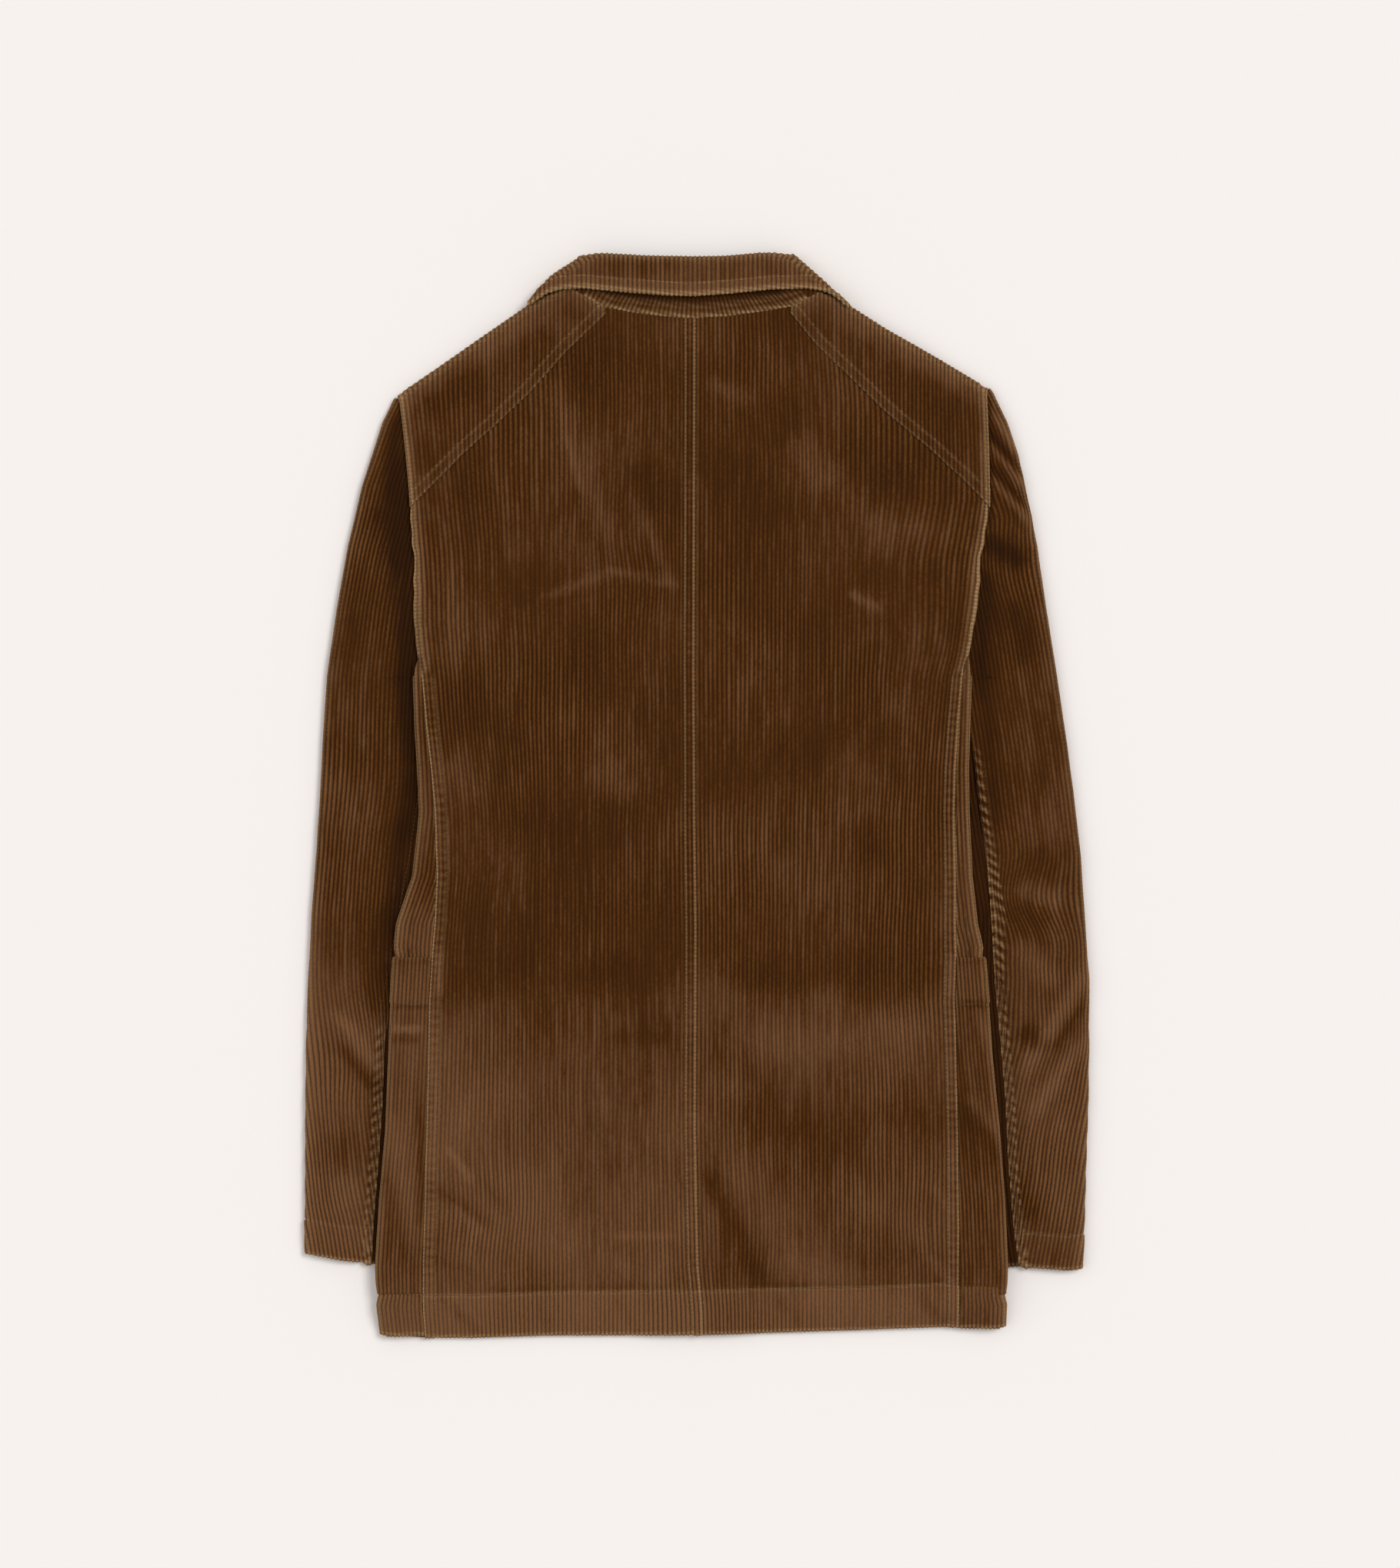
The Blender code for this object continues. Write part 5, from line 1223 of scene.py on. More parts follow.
def makeCollar():
    cloth = Cloth()
    step = collar["pitch"] / 6
    limits = {}
    for side in (left, right):
        _, _, normal, radius, shift = sidePoints(side)
        ends = side["collarFold"]
        slope = (ends[1][1] - ends[0][1]) / (ends[1][0] - ends[0][0])
        limits[side["word"]] = (ends, slope, normal, radius, shift)
    cornerLeft = left["collarFold"][0][0] + collar["corner"]
    cornerRight = right["collarFold"][0][0] - collar["corner"]
    wider = limits["left"][3] - layers["rollRadius"]
    turnShare = lambda x: (smooth((cornerLeft + 14.0 - x) / 14.0), smooth((x - cornerRight + 14.0) / 14.0))

    def turnRadius(x):  # the turn is flatter towards the tips
        toTip = smooth((cornerLeft - 6.0 - x) / 24.0) + smooth((x - cornerRight - 6.0) / 24.0)
        fine = smooth((cornerLeft - 20.0 - x) / 20.0) + smooth((x - cornerRight - 24.0) / 18.0)
        return layers["rollRadius"] + wider * sum(turnShare(x)) * (1.0 - toTip) - 2.4 * fine

    def turnDepth(x):
        return layers["rollRadius"] + wider * sum(turnShare(x))

    def topLimit(x):
        best = lineAt(fallRoll, x) - turnRadius(x) - layers["halfCloth"]
        for word in ("left", "right"):
            ends, slope, normal, _, _ = limits[word]
            share = np.clip((x - ends[0][0]) / (ends[1][0] - ends[0][0]), 0.0, 1.0)
            bulge = collar["bulge"][word] * np.sin(math.pi * share ** 1.5)
            inset = (turnRadius(x) + layers["halfCloth"]) / normal[1]
            best = np.minimum(best, ends[0][1] + slope * (x - ends[0][0]) + bulge - inset)
        return best

    tips = (fallEdge[0][0], fallEdge[-1][0])

    def edgeLow(x):
        inField = 0.8 * smooth((x - tips[0]) / 16.0) * smooth((tips[1] - x) / 16.0)
        return lineAt(fallEdge, x) + 0.8 + inField

    xs = np.arange(-125.0, 115.0, 0.05)
    inside = xs[topLimit(xs) - edgeLow(xs) > 0.6]
    firstX, lastX = inside[0], inside[-1]
    x = np.arange(math.ceil(firstX / step), math.floor(lastX / step) + 1) * step
    low, high = edgeLow(x), topLimit(x)
    y = heightRows(low, high, collar["rows"], (0.0, 0.8, 2.0, 4.0, 6.2, 7.2, 8.0, 8.8, 10.0))
    z = layers["fallTop"] + 0 * y
    flat = np.stack((x[:, None] + 0 * y, y, z), -1)
    # turn at the top: a quarter round the roll, half a turn round the side folds
    toLeft, toRight = turnShare(x)
    outward = (1 - toLeft - toRight)[:, None] * np.array((0.0, 1.0))
    outward = outward + toLeft[:, None] * limits["left"][2] + toRight[:, None] * limits["right"][2]
    outward = unitRows(outward)
    sideways = np.stack((-outward[:, 1], outward[:, 0]), -1)
    share = toLeft + toRight
    radius, depth = turnRadius(x), turnDepth(x)
    total = math.pi / 2 * (1 + share)
    beside = smooth((x - firstX) / 20.0) * smooth((cornerLeft - x) / 20.0)
    beside = beside + smooth((lastX - x) / 20.0) * smooth((x - cornerRight) / 20.0)
    lean = 0.4 * (outward[:, 0] / np.maximum(0.3, outward[:, 1])) * beside
    # at its tips the fall runs down and round the neck
    atLeft, atRight = smooth((firstX + 20.0 - x) / 20.0), smooth((x - lastX + 20.0) / 20.0)
    runDown = {}
    for side, tipX, share in ((left, firstX, atLeft), (right, lastX, atRight)):
        tip = np.array((tipX, float(topLimit(tipX))))
        goal = np.array(limits[side["word"]][0][1]) - limits[side["word"]][4]
        runDown[side["word"]] = (goal - tip, share)
    rows = []
    edge = flat[:, -1]
    for part in np.linspace(0.0, 1.0, 13)[1:]:
        angle = total * part
        shift = outward * (radius * np.sin(angle))[:, None] + sideways * (radius * angle * lean)[:, None]
        for way, share in runDown.values():
            shift = shift + (share * (1.4 * part - 0.4 * part ** 2))[:, None] * way
        turnedZ = edge[:, 2] - depth * (1 - np.cos(angle))
        rows.append(np.concatenate((edge[:, :2] + shift, turnedZ[:, None]), 1))
    middle = np.concatenate((flat, np.stack(rows, 1)), 1)
    run = np.concatenate((y, y[:, -1:] + np.linspace(0.0, 12.0, 13)[1:]), 1)
    wale = x[:, None] / collar["pitch"] + 100.0 + 0 * run
    relief = ribRelief(wale, run)
    fromEdge = np.full(run.shape, 99.0)
    fromEdge[:, :y.shape[1]] = y - low[:, None]
    relief = relief + seamBand(fromEdge, x[:, None] + 0 * run, collar["band"])
    bandLight, bandWearAndSheen = bandShading(fromEdge, collar["band"])
    tone = collar["tone"] + bandLight + foldLift(collar["shade"], x[:, None] + 0 * run, run)
    # worn pile with painted sheen along the lower edge and over the roll
    rub = rim(fromEdge, 4.5) * 1.1 + bandWearAndSheen * 0.6 + 0.4 * smooth((run - y[:, -1:] + 4.0) / 8.0)
    outer, inner = layPart(cloth, middle, wale, run, relief, tone, rub)
    chosen = picks(len(x))
    fromLeft = int(np.argmax(x > cornerLeft))
    fromRight = int(np.argmax(x > cornerRight))
    innerLeft, innerRight = np.searchsorted(chosen, (fromLeft, fromRight))
    for side, outerPart, innerPart in ((left, outer[:fromLeft + 1, -1], inner[:innerLeft + 1, -1]),
                                       (right, outer[fromRight:, -1][::-1], inner[innerRight:, -1][::-1])):
        edgePoints, rollPoints, _, _, _ = sidePoints(side)
        width = np.linalg.norm(rollPoints - edgePoints, axis=1)
        direction = (rollPoints - edgePoints) / width[:, None]
        sections = []
        for number in range(5):
            place = edgePoints + direction * ((width - layers["rollRadius"]) * number / 4)[:, None]
            sections.append(np.concatenate((place, np.full((len(place), 1), layers["fallBottom"])), 1))
        for number in range(1, 4):
            angle = 0.5 * math.pi * number / 3
            reach = width - layers["rollRadius"] + layers["rollRadius"] * math.sin(angle)
            place = edgePoints + direction * reach[:, None]
            height = layers["fallBottom"] + layers["rollRadius"] * (1 - math.cos(angle))
            sections.append(np.concatenate((place, np.full((len(place), 1), height)), 1))
        net = np.stack(sections, 1)
        normal = netNormal(net)
        normal = -normal if normal[..., 2].sum() > 0 else normal
        netOuter, netInner = layNet(cloth, net, normal, np.abs(net[..., 0]) / collar["pitch"], net[..., 1])
        cloth.joinLayers((outerPart, innerPart), (netOuter[0, :5], netInner[0, :5]))
        cloth.join(netOuter[0, 4:], netInner[0, 4:])
        closeSides(cloth, netOuter, netInner, ("low", "high", "last"))
    cloth.join(outer[fromLeft:fromRight + 1, -1], inner[innerLeft:innerRight + 1, -1])
    closeSides(cloth, outer, inner, ("low", "first", "last"))
    return cloth


stand = {
    # tone -0.55: painted shadow of the fall on the stand
    "tone": -0.55, "rows": 17,
    "band": {
        "width": 4.2, "lift": 0.4, "rows": (4.2,), "dip": 0.5, "stitch": 3, "pucker": 6, "puff": 0.15,
        "tone": 0.6,
    },
}


def standNet(side, net):  # stand of one half of the collar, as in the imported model
    sign = side["sign"]
    top = len(netRows) + len(armholeSteps) - 1
    stations = []
    rollEnd, edgeEnd = np.array(side["collarFold"][0]), np.array(side["collarFold"][1])
    edgePoints, rollPoints, normal, radius, inset = sidePoints(side)
    for number in range(10):
        edge = along(list(side["fallEdge"]) + [tuple(edgeEnd - inset)], number / 10)
        roll = along(list(side["roll"]) + [tuple(rollEnd - inset)], number / 10)
        roll = np.array((roll[0], roll[1] - 0.9, layers["fallTop"]))
        stations.append((np.append(edge, layers["fallTop"]), roll, np.array((0.0, 0.0, 1.0))))
    for number in range(foldCells + 1):
        angle = math.pi * number / foldCells
        out = np.append(normal * math.sin(angle), math.cos(angle))
        edge = np.append(edgeEnd - inset, layers["fallBottom"] + radius) + out * radius
        roll = np.append(rollEnd - inset, layers["fallBottom"] + radius) + out * radius
        stations.append((edge, roll, out))
    for edge, roll in zip(edgePoints[1:], rollPoints[1:]):
        edge, roll = np.append(edge, layers["fallBottom"]), np.append(roll, layers["fallBottom"])
        stations.append((edge, roll, np.array((0.0, 0.0, -1.0))))
    seam = []
    for number in range(5):
        x, y = along(side["backNeck"], number / 5)
        x += sign * layers["seamGap"] / 2 if number == 0 else 0.0
        seam.append((x, y, float(backHeight(side, x, y))))
    ridgeDir = ridgeNormal(side)
    start = net[neckCells, top]
    high = float(backHeight(side, start[0], start[1]))
    half = (high - start[2]) / 2
    seamEnd = np.array(side["seam"][0]) + ridgeDir * layers["seamGap"] / 2
    for number in range(5, -1, -1):
        x, y = start[:2] + (seamEnd - start[:2]) * number / 5
        seam.append((x, y, float(backHeight(side, x, y))))
    for number in range(foldCells - 1, -1, -1):
        angle = math.pi * number / foldCells - math.pi / 2
        out = ridgeDir * layers["foldSpace"] / 2 * math.cos(angle)
        seam.append((start[0] + out[0], start[1] + out[1], start[2] + half * (1 + math.sin(angle))))
    neckEdge = [tuple(net[i, top]) for i in range(neckCells, -1, -1)]
    middle = [point for point in neckEdge if abs(point[0]) > 3.0 and point[0] * sign > 0]
    after = neckEdge[len(middle)]
    share = (abs(middle[-1][0]) - 3.0) / abs(middle[-1][0] - after[0])
    neckEdge = middle + [tuple(np.array(middle[-1]) + (np.array(after) - np.array(middle[-1])) * share)]
    seam += [tuple(point) for point in along(neckEdge, np.linspace(0.0, 1.0, neckCells + 1)[1:])]
    sections = []
    for place, (edge, roll, out) in zip(seam, stations):
        direction = (roll - edge) / np.linalg.norm(roll - edge)
        upper = roll - direction * 7.0 - out * (layers["layer"] + 0.5)
        place = np.array(place, float)
        away = (upper - place) / np.linalg.norm(upper - place)
        place = place + away * layers["standGap"]
        sections.append([place + (upper - place) * number / 4 for number in range(5)])
    sections[0][0][0] = seam[0][0]
    return np.array(sections)


def makeStand(netLeft, netRight):
    cloth = Cloth()
    net = np.concatenate((netLeft[::-1], netRight[1:]))
    middle = len(netLeft) - 1
    reach = 8
    span = net[middle - reach:middle + reach + 1]
    at = np.linspace(0, 2 * reach, 2 * reach + 1)
    length = lengthAlong(span[:, 0])
    count = int(length[-1] / (collar["pitch"] / 6))
    u = np.interp(np.linspace(0.0, length[-1], count), length, at)
    v = np.linspace(0.0, 4.0, stand["rows"])
    fine = np.zeros((count, stand["rows"], 3))
    for axis in range(3):
        byColumn = np.stack([np.interp(u, at, span[:, row, axis]) for row in range(5)], 1)
        fine[..., axis] = np.stack([np.interp(v, np.arange(5), heights) for heights in byColumn])
    wale = np.linspace(0.0, length[-1], count)[:, None] / collar["pitch"] + 0 * v
    run = v * 6.0 + 0 * wale
    relief = ribRelief(wale, run)
    relief = relief + seamBand(run * 0.8, wale * collar["pitch"], stand["band"])
    bandLight, bandWearAndSheen = bandShading(run * 0.8, stand["band"])
    rub = rim(run * 0.8, 2.0) + bandWearAndSheen * 0.4
    outer, inner = layPart(cloth, fine, wale, run, relief, stand["tone"] + bandLight, rub)
    for part, line in ((net[:middle - reach + 1][::-1], 0), (net[middle + reach:], -1)):
        normal = netNormal(part)
        normal = normal if normal[0, 1, 2] > 0 else -normal
        restOuter, restInner = layNet(cloth, part, normal, part[..., 0] / collar["pitch"], part[..., 1])
        cloth.joinLayers((outer[line], inner[line]), (restOuter[0], restInner[0]))
        closeSides(cloth, restOuter, restInner, ("low", "high", "last"))
    closeSides(cloth, outer, inner, ("low", "high"))
    return cloth


class Value:  # a socket that takes part in Python expressions
    def __init__(self, board, socket):
        self.board, self.socket = board, socket

    def math(self, operation, *others):
        return self.board.node("ShaderNodeMath", {"operation": operation}, dict(enumerate((self, *others))))

    def __add__(self, other):
        return self.math("ADD", other)

    def __radd__(self, other):
        return self.math("ADD", other)

    def __sub__(self, other):
        return self.math("SUBTRACT", other)

    def __rsub__(self, other):
        return Value.math(self * -1.0, "ADD", other)

    def __mul__(self, other):
        return self.math("MULTIPLY", other)

    def __rmul__(self, other):
        return self.math("MULTIPLY", other)

    def __truediv__(self, other):
        return self.math("DIVIDE", other)

    def __pow__(self, other):
        return self.math("POWER", other)


class Board:  # node tree of one material
    def __init__(self, name):
        self.material = bpy.data.materials.new(name)
        self.material.use_nodes = True
        self.tree = self.material.node_tree
        self.tree.nodes.clear()

    def node(self, kind, settings=None, inputs=None, output=0):
        made = self.tree.nodes.new(kind)
        for key, value in (settings or {}).items():
            if key == "stops":
                ramp = made.color_ramp
                while len(ramp.elements) < len(value):
                    ramp.elements.new(0.5)
                for element, (position, colour) in zip(ramp.elements, value):
                    element.position, element.color = position, (*colour, 1.0)
            else:
                setattr(made, key, value)
        for key, value in (inputs or {}).items():
            socket = made.inputs[key]
            if isinstance(value, Value):
                self.tree.links.new(value.socket, socket)
            else:
                socket.default_value = (*value, 1.0) if socket.type == "RGBA" else value
        return Value(self, made.outputs[output]) if len(made.outputs) else None

    def mark(self, name):
        return self.node("ShaderNodeAttribute", {"attribute_name": name}, output="Fac")

    def mix(self, share, first, second, blend="MIX"):
        settings = {"data_type": "RGBA", "blend_type": blend}
        return self.node("ShaderNodeMix", settings, {0: share, 6: first, 7: second}, output=2)

    def noise(self, place, scale, detail, roughness=0.5, distortion=0.0, dimensions="3D"):
        return self.node("ShaderNodeTexNoise", {"noise_dimensions": dimensions}, {
            "Vector": place, "Scale": scale, "Detail": detail, "Roughness": roughness,
            "Distortion": distortion})

    def moved(self, value, low, high, newLow=0.0, newHigh=1.0):  # a value taken from one range to another
        return self.node("ShaderNodeMapRange", None, {0: value, 1: low, 2: high, 3: newLow, 4: newHigh})

    def bump(self, height, strength, distance, more=None):
        inputs = {"Strength": strength, "Distance": distance, "Height": height, **(more or {})}
        return self.node("ShaderNodeBump", None, inputs)

    def finish(self, inputs):
        surface = self.node("ShaderNodeBsdfPrincipled", None, inputs)
        self.node("ShaderNodeOutputMaterial", None, {"Surface": surface})
        return self.material


corduroyLook = {
    "groove": (0.016, 0.0048, 0.0007), "pile": (0.0735, 0.0236, 0.0036), "tip": (0.205, 0.082, 0.02),
    "wornSheen": (0.385, 0.24, 0.112), "light": (0.19, 0.094, 0.047), "dark": (0.028, 0.0088, 0.0018),
    "grooveShadeShare": (0.42, 0.78), "tickRate": 2 * math.pi / 2.9, "tickStep": 0.9, "sheen": 0.22,
    "sheenTint": (1, 0.6, 0.28), "sheenRoughness": 0.4, "roughness": 0.9, "creaseScale": 7,
    "creaseHeight": 2.6, "pileBump": 0.3, "pileSize": 1900, "shine": 0.06,
    # how fine the wandering shades are, larger is finer
    "blotchSize": 14, "fleckSize": 420, "patchSize": 9,
}


def makeCorduroy(name, look):
    board = Board(name)
    wale, run, ribbed, tone, rub = (board.mark(mark) for mark in ("wale", "run", "ribbed", "tone", "rub"))
    place = board.node("ShaderNodeTexCoord", output="Object")
    number = wale.math("FLOOR")
    # every raised line has its own shade, which wanders along it
    track = board.node("ShaderNodeCombineXYZ", None, {0: number * 3.7, 1: run * 0.02, 2: 0.0})
    streak = board.noise(track, 1.0, 3.0, 0.6, dimensions="2D")
    blotch = board.noise(place, look["blotchSize"], 4.0, 0.55)
    pile = board.noise(place, look["pileSize"], 2.0, 0.6)
    fleck = board.noise(place, look["fleckSize"], 2.0, 0.7)
    ragged = wale + (fleck - 0.5) * 0.3 + (pile - 0.5) * 0.25
    crest = 0.5 - (ragged * (2 * math.pi)).math("COSINE") * 0.5
    spot = board.node("ShaderNodeCombineXYZ", None, {0: number * 5.3, 1: run * 0.33, 2: 0.0})
    broken = board.noise(spot, 1.0, 2.0, 0.7, dimensions="2D")
    patch = board.noise(place, look["patchSize"], 2.0)
    # the tone attribute holds painted light and shade as well as nap; noise adds nap that wanders at random
    napAndShade = tone + (streak - 0.5) * 1.1 + (blotch - 0.5) * 1.0 + (fleck - 0.5) * 0.4
    colour = board.mix(board.moved(napAndShade, 0.0, 1.0), look["pile"], look["light"])
    colour = board.mix(board.moved(napAndShade * -1.0, 0.0, 1.0), colour, look["dark"])
    # painted highlight on the crests of the raised lines, stronger in some places; worn pile with painted
    # sheen is lighter still, in short ticks along the run
    tipHighlightShare = board.moved(napAndShade + (patch - 0.5) * 1.8 + (broken - 0.5) * 0.9, -0.4, 0.9, 0.03, 0.75)
    colour = board.mix(crest ** 2.6 * tipHighlightShare, colour, look["tip"])
    ticks = (run * look["tickRate"] + number * look["tickStep"] + (fleck - 0.5) * 2.5).math("SINE")
    colour = board.mix(rub * (ticks * 0.3 + 0.72) * (crest * 0.5 + 0.45), colour, look["wornSheen"])
    # painted shade in the grooves between the raised lines
    clear = board.moved(patch + (streak - 0.5) * 0.5, 0.35, 0.65, *look["grooveShadeShare"])
    depth = (1.0 - crest) ** 2.2 * clear * (1.0 - rub * 0.35)
    colour = board.mix(depth, colour, look["groove"])
    speck = board.moved(pile, 0.3, 0.7, 0.7, 1.25)
    shade = board.node("ShaderNodeCombineColor", None, {0: speck, 1: speck, 2: speck})
    colour = board.mix(1.0, colour, shade, "MULTIPLY")
    # soft creases on the side that lies on the floor
    inputs = {0: place, 1: (1.0, 0.4, 1.0)}
    stretched = board.node("ShaderNodeVectorMath", {"operation": "MULTIPLY"}, inputs)
    crease = board.noise(stretched, look["creaseScale"], 1.0, distortion=0.8)
    crease = (1.0 - (crease * 4.0 - 2.0).math("ABSOLUTE")).math("MAXIMUM", 0.0) ** 2.0
    hiddenHeight = (crest + crease * look["creaseHeight"]) * (1.0 - ribbed)
    low = board.bump(hiddenHeight, 1.0, 0.0008)
    bump = board.bump(pile, look["pileBump"], 0.0003, {"Normal": low})
    return board.finish({
        "Base Color": colour, "Roughness": look["roughness"], "Normal": bump,
        "Sheen Weight": look["sheen"], "Sheen Roughness": look["sheenRoughness"],
        "Sheen Tint": look["sheenTint"], "Specular IOR Level": look["shine"],
    })


hornLook = {
    "stops": ((0.3, (0.012, 0.006, 0.004)), (0.55, (0.045, 0.022, 0.012)), (0.8, (0.11, 0.06, 0.03))),
    "grain": 160, "roughness": 0.32,
}


def makeHorn():
    board = Board("buttonHorn")
    place = board.node("ShaderNodeTexCoord", output="Object")
    grain = board.noise(place, hornLook["grain"], 4.0, distortion=1.5)
    colour = board.node("ShaderNodeValToRGB", {"stops": hornLook["stops"]}, {0: grain})
    bump = board.bump(grain, 0.1, 0.0002)
    return board.finish({"Base Color": colour, "Roughness": hornLook["roughness"], "Normal": bump})


corduroy = makeCorduroy("brownCorduroy", corduroyLook)
horn = makeHorn()

pieces = {}
netFor = {}
for side in (left, right):
    word = side["word"]
    frontCloth, netFor[word] = makeFront(side)
    panels = {"front": frontCloth, "back": makeBack(side), "pocket": makePocket(side),
              "topSleeve": makeTopSleeve(side, netFor[word]), "underSleeve": makeUnderSleeve(side)}
    for panel, cloth in panels.items():
        name = panel + word.capitalize()
        pieces[name] = clothObject(name, cloth, corduroy)
    print("panels of the", word, "side laid")
pieces["collarFall"] = clothObject("collarFall", makeCollar(), corduroy)
standCloth = makeStand(standNet(left, netFor["left"]), standNet(right, netFor["right"]))
pieces["collarStand"] = clothObject("collarStand", standCloth, corduroy)
print("collar laid")

sewing = {  # rows of stitches on the side that shows, in millimetres
    "length": 2.5, "gap": 0.7, "thick": 0.23, "proud": 0.08, "sides": 6, "rings": (0.45, 1, 1, 1, 0.45),
    "colour": (0.135, 0.062, 0.02), "twist": 900, "steepest": 1.6,
}


def offsetLine(line, aside):  # a line moved sideways by a distance
    points = along(line, np.linspace(0.0, 1.0, 80))
    direction = unitRows(np.gradient(points, axis=0))
    return points + np.stack((-direction[:, 1], direction[:, 0]), -1) * aside


def sewnRows():
    rows = []
    for side in (left, right):
        sign = side["sign"]
        lower = [(point[0], point[1] - shoulderPart["lap"]) for point in side["seam"]]
        for away in shoulderBand["rows"]:
            rows.append(offsetLine(lower, away * sign)[1:76])
        heights = np.linspace(4.0, layers["underarm"] - 4.0, 120)
        rows.append(np.stack((across(side["body"], 2, heights) - sign * sideBand["width"], heights), -1))
        wide = np.linspace(abs(float(across(side["body"], 1, hemBand["width"]))) - 3.0, 1.0, 80) * sign
        rows.append(np.stack((wide, lineAt(hemLine, wide) + (hemBand["width"] + 1.0)), -1))
        outer, inner = (float(across(side["sleeve"], column, 80.0)) for column in (1, 2))
        wide = np.linspace(outer - sign * 2.0, inner + sign * 1.5, 30)
        rows.append(np.stack((wide, lineAt(side["cuff"], wide) + (cuffBand["width"] + 1.0)), -1))
        heights = np.linspace(84.0, 424.0, 110)
        rows.append(np.stack((across(side["sleeve"], 2, heights) + sign * 7.2, heights), -1))
        level = layers["pocketTop"] - (pocket["band"]["width"] + 1.0)
        outer, inner = (float(np.abs(across(side["body"], column, level))) for column in (1, 2))
        wide = np.linspace(outer - 2.0, inner + 1.0, 12) * sign
        rows.append(np.stack((wide, 0 * wide + level), -1))
    heights = np.linspace(6.0, 742.0, 150)
    rows.append(np.stack((across(backMiddle, 1, heights) - 8.2, heights), -1))
    xs = np.linspace(-110.0, 96.0, 80)
    rows.append(np.stack((xs, lineAt(fallEdge, xs) + collar["band"]["width"] + 1.0), -1))
    return rows


def stitchSpots(row, travelled, start, ground):  # where one stitch lies on the cloth under it
    spots, normals = [], []
    for share in np.linspace(0.0, 1.0, len(sewing["rings"])):
        at = start + sewing["length"] * share
        x, y = np.interp(at, travelled, row[:, 0]), np.interp(at, travelled, row[:, 1])
        above = (x * 0.001, (y - layers["originHeight"]) * 0.001, 0.05)
        best = None
        for tree in ground:
            spot, normal, _, _ = tree.ray_cast(above, (0.0, 0.0, -1.0))
            if spot is not None and (best is None or spot.z > best[0].z):
                best = (spot, normal)
        if best is None or best[0].z < 0.001:
            return None
        spots.append(np.array(best[0]))
        normals.append(np.array(best[1]))
    spots = np.array(spots)
    if np.ptp(spots[:, 2]) > sewing["steepest"] * 0.001:
        return None
    return spots, unitRows(np.mean(normals, axis=0))


def addStitch(places, faces, spots, normal):  # a short closed tube that narrows at its ends
    spots[:, 2] = np.maximum(spots[:, 2], spots[:, 2].mean())
    direction = unitRows(spots[-1] - spots[0])
    aside = unitRows(np.cross(normal, direction))
    base = len(places)
    count = sewing["sides"]
    for spot, size in zip(spots, sewing["rings"]):
        reach = sewing["thick"] * size * 0.001
        middle = spot + normal * sewing["proud"] * 0.001
        for turn in np.linspace(0.0, 2 * math.pi, count + 1)[:-1]:
            way = aside * math.cos(turn) + normal * math.sin(turn)
            places.append(tuple(middle + way * reach))
    for ring in range(len(sewing["rings"]) - 1):
        for corner in range(count):
            first, second = base + ring * count + corner, base + ring * count + (corner + 1) % count
            faces.append((first, second, second + count, first + count))
    faces.append(tuple(range(base + count - 1, base - 1, -1)))
    last = base + (len(sewing["rings"]) - 1) * count
    faces.append(tuple(range(last, last + count)))


def sew(rows, ground):
    places, faces = [], []
    for row in rows:
        travelled = lengthAlong(row)
        starts = np.arange(1.0, travelled[-1] - sewing["length"], sewing["length"] + sewing["gap"])
        for start in starts:
            stitch = stitchSpots(row, travelled, start, ground)
            if stitch is not None:
                addStitch(places, faces, *stitch)
    mesh = bpy.data.meshes.new("seamThread")
    mesh.from_pydata(places, [], faces)
    piece = bpy.data.objects.new("seamThread", mesh)
    bpy.context.scene.collection.objects.link(piece)
    shell = bmesh.new()
    shell.from_mesh(mesh)
    bmesh.ops.recalc_face_normals(shell, faces=shell.faces)
    shell.to_mesh(mesh)
    shell.free()
    for face in mesh.polygons:
        face.use_smooth = True
    return piece


def makeThread():
    board = Board("brownThread")
    place = board.node("ShaderNodeTexCoord", output="Object")
    share = board.moved(board.noise(place, sewing["twist"], 1.0), 0.35, 0.65)
    colour = board.mix(share, tuple(part * 0.6 for part in sewing["colour"]), sewing["colour"])
    return board.finish({"Base Color": colour, "Roughness": 0.7, "Specular IOR Level": 0.2})


ground = [BVHTree.FromObject(piece, bpy.context.evaluated_depsgraph_get()) for piece in pieces.values()]
thread = sew(sewnRows(), ground)
thread.data.materials.append(makeThread())
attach(thread, "root")
print("seams sewn with", len(thread.data.polygons), "faces")

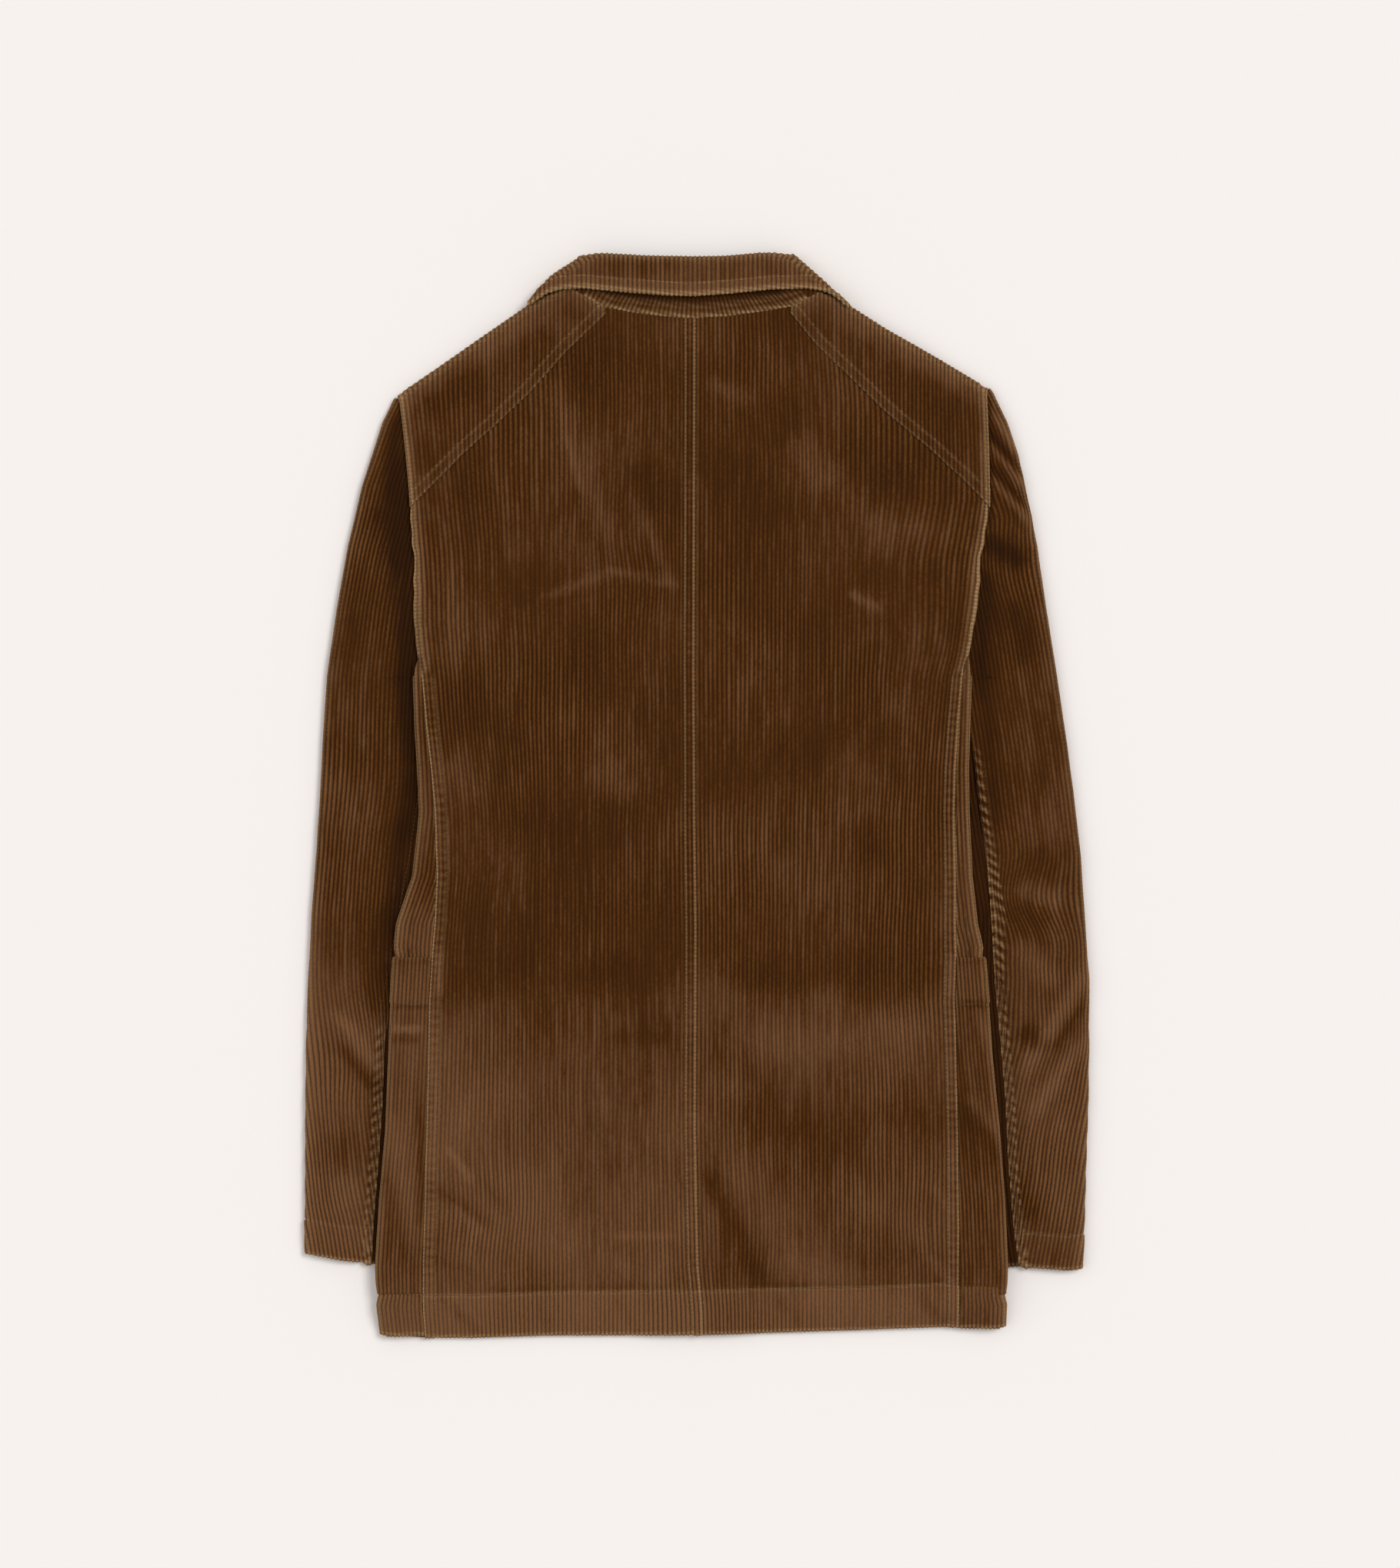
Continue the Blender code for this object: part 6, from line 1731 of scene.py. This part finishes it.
# nodes, flat size (width, length) and flat area of each cut, in metres
cuts = {
    "backLeft": ("back_left", (0.222, 0.762), 0.15, "laid"),
    "backRight": ("back_right", (0.22, 0.762), 0.148, "laid"),
    "frontLeft": ("front_left", (0.3, 0.935), 0.2, "folded"),
    "frontRight": ("front_right", (0.3, 0.935), 0.19, "folded"),
    "pocketLeft": ("pocket_left", (0.205, 0.255), 0.05, "folded"),
    "pocketRight": ("pocket_right", (0.2, 0.255), 0.046, "folded"),
    "topSleeveLeft": ("top_sleeve_left", (0.185, 0.65), 0.09, "folded"),
    "topSleeveRight": ("top_sleeve_right", (0.185, 0.65), 0.09, "folded"),
    "underSleeveLeft": ("under_sleeve_left", (0.185, 0.44), 0.065, "folded"),
    "underSleeveRight": ("under_sleeve_right", (0.185, 0.44), 0.06, "folded"),
    "collarFall": ("collar", (0.56, 0.06), 0.028, "folded"),
    "collarStand": ("collar_stand", (0.5, 0.04), 0.012, "folded"),
}
for name, piece in pieces.items():
    node, flat, area, held = cuts[name]
    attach(piece, "root")
    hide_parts(node)

for node in ("button_lower", "button_middle", "button_upper"):
    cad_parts[node].data.materials.clear()
    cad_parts[node].data.materials.append(horn)

stage = {"colour": (0.947, 0.898, 0.872), "size": 6, "skyLight": 0.52}
bpy.ops.object.select_all(action="DESELECT")
bpy.ops.mesh.primitive_plane_add(size=stage["size"], location=(0.0, 0.0, -0.001))
floor = bpy.context.object
floor.name = "paperFloor"
floor.data.transform(floor.matrix_world)
floor.matrix_world.identity()
board = Board("palePaper")
paper = board.finish({"Base Color": stage["colour"], "Roughness": 0.9, "Specular IOR Level": 0.1})
floor.data.materials.append(paper)

scene = bpy.context.scene
scene.view_settings.view_transform = "Standard"
world = bpy.data.worlds.new("studioRoom")
world.use_nodes = True
sky = world.node_tree.nodes["Background"].inputs
sky["Color"].default_value = (1.0, 1.0, 1.0, 1.0)
sky["Strength"].default_value = stage["skyLight"]
scene.world = world

lights = {  # direction to each soft light, its strength, angle in degrees and colour
    "windowLight": ((0.47, 0.32, 0.82), 1.37, 24, (1, 0.995, 0.98)),
    "fillLight": ((-0.7, 0.1, 0.7), 0.5, 60, (1, 1, 1)),
}
for name, (direction, strength, angle, colour) in lights.items():
    lamp = bpy.data.lights.new(name, "SUN")
    lamp.energy, lamp.angle, lamp.color = strength, math.radians(angle), colour
    holder = bpy.data.objects.new(name, lamp)
    scene.collection.objects.link(holder)
    holder.rotation_euler = Vector(direction).to_track_quat("Z", "Y").to_euler()

view = {"lens": 90, "sensor": 36, "middle": (0.002, 0.0085), "height": 2.89}
camera = bpy.data.cameras.new("cameraAbove")
camera.lens, camera.sensor_width = view["lens"], view["sensor"]
cameraHolder = bpy.data.objects.new("cameraAbove", camera)
cameraHolder.location = (*view["middle"], view["height"])
scene.collection.objects.link(cameraHolder)
scene.camera = cameraHolder
print("light and camera set")

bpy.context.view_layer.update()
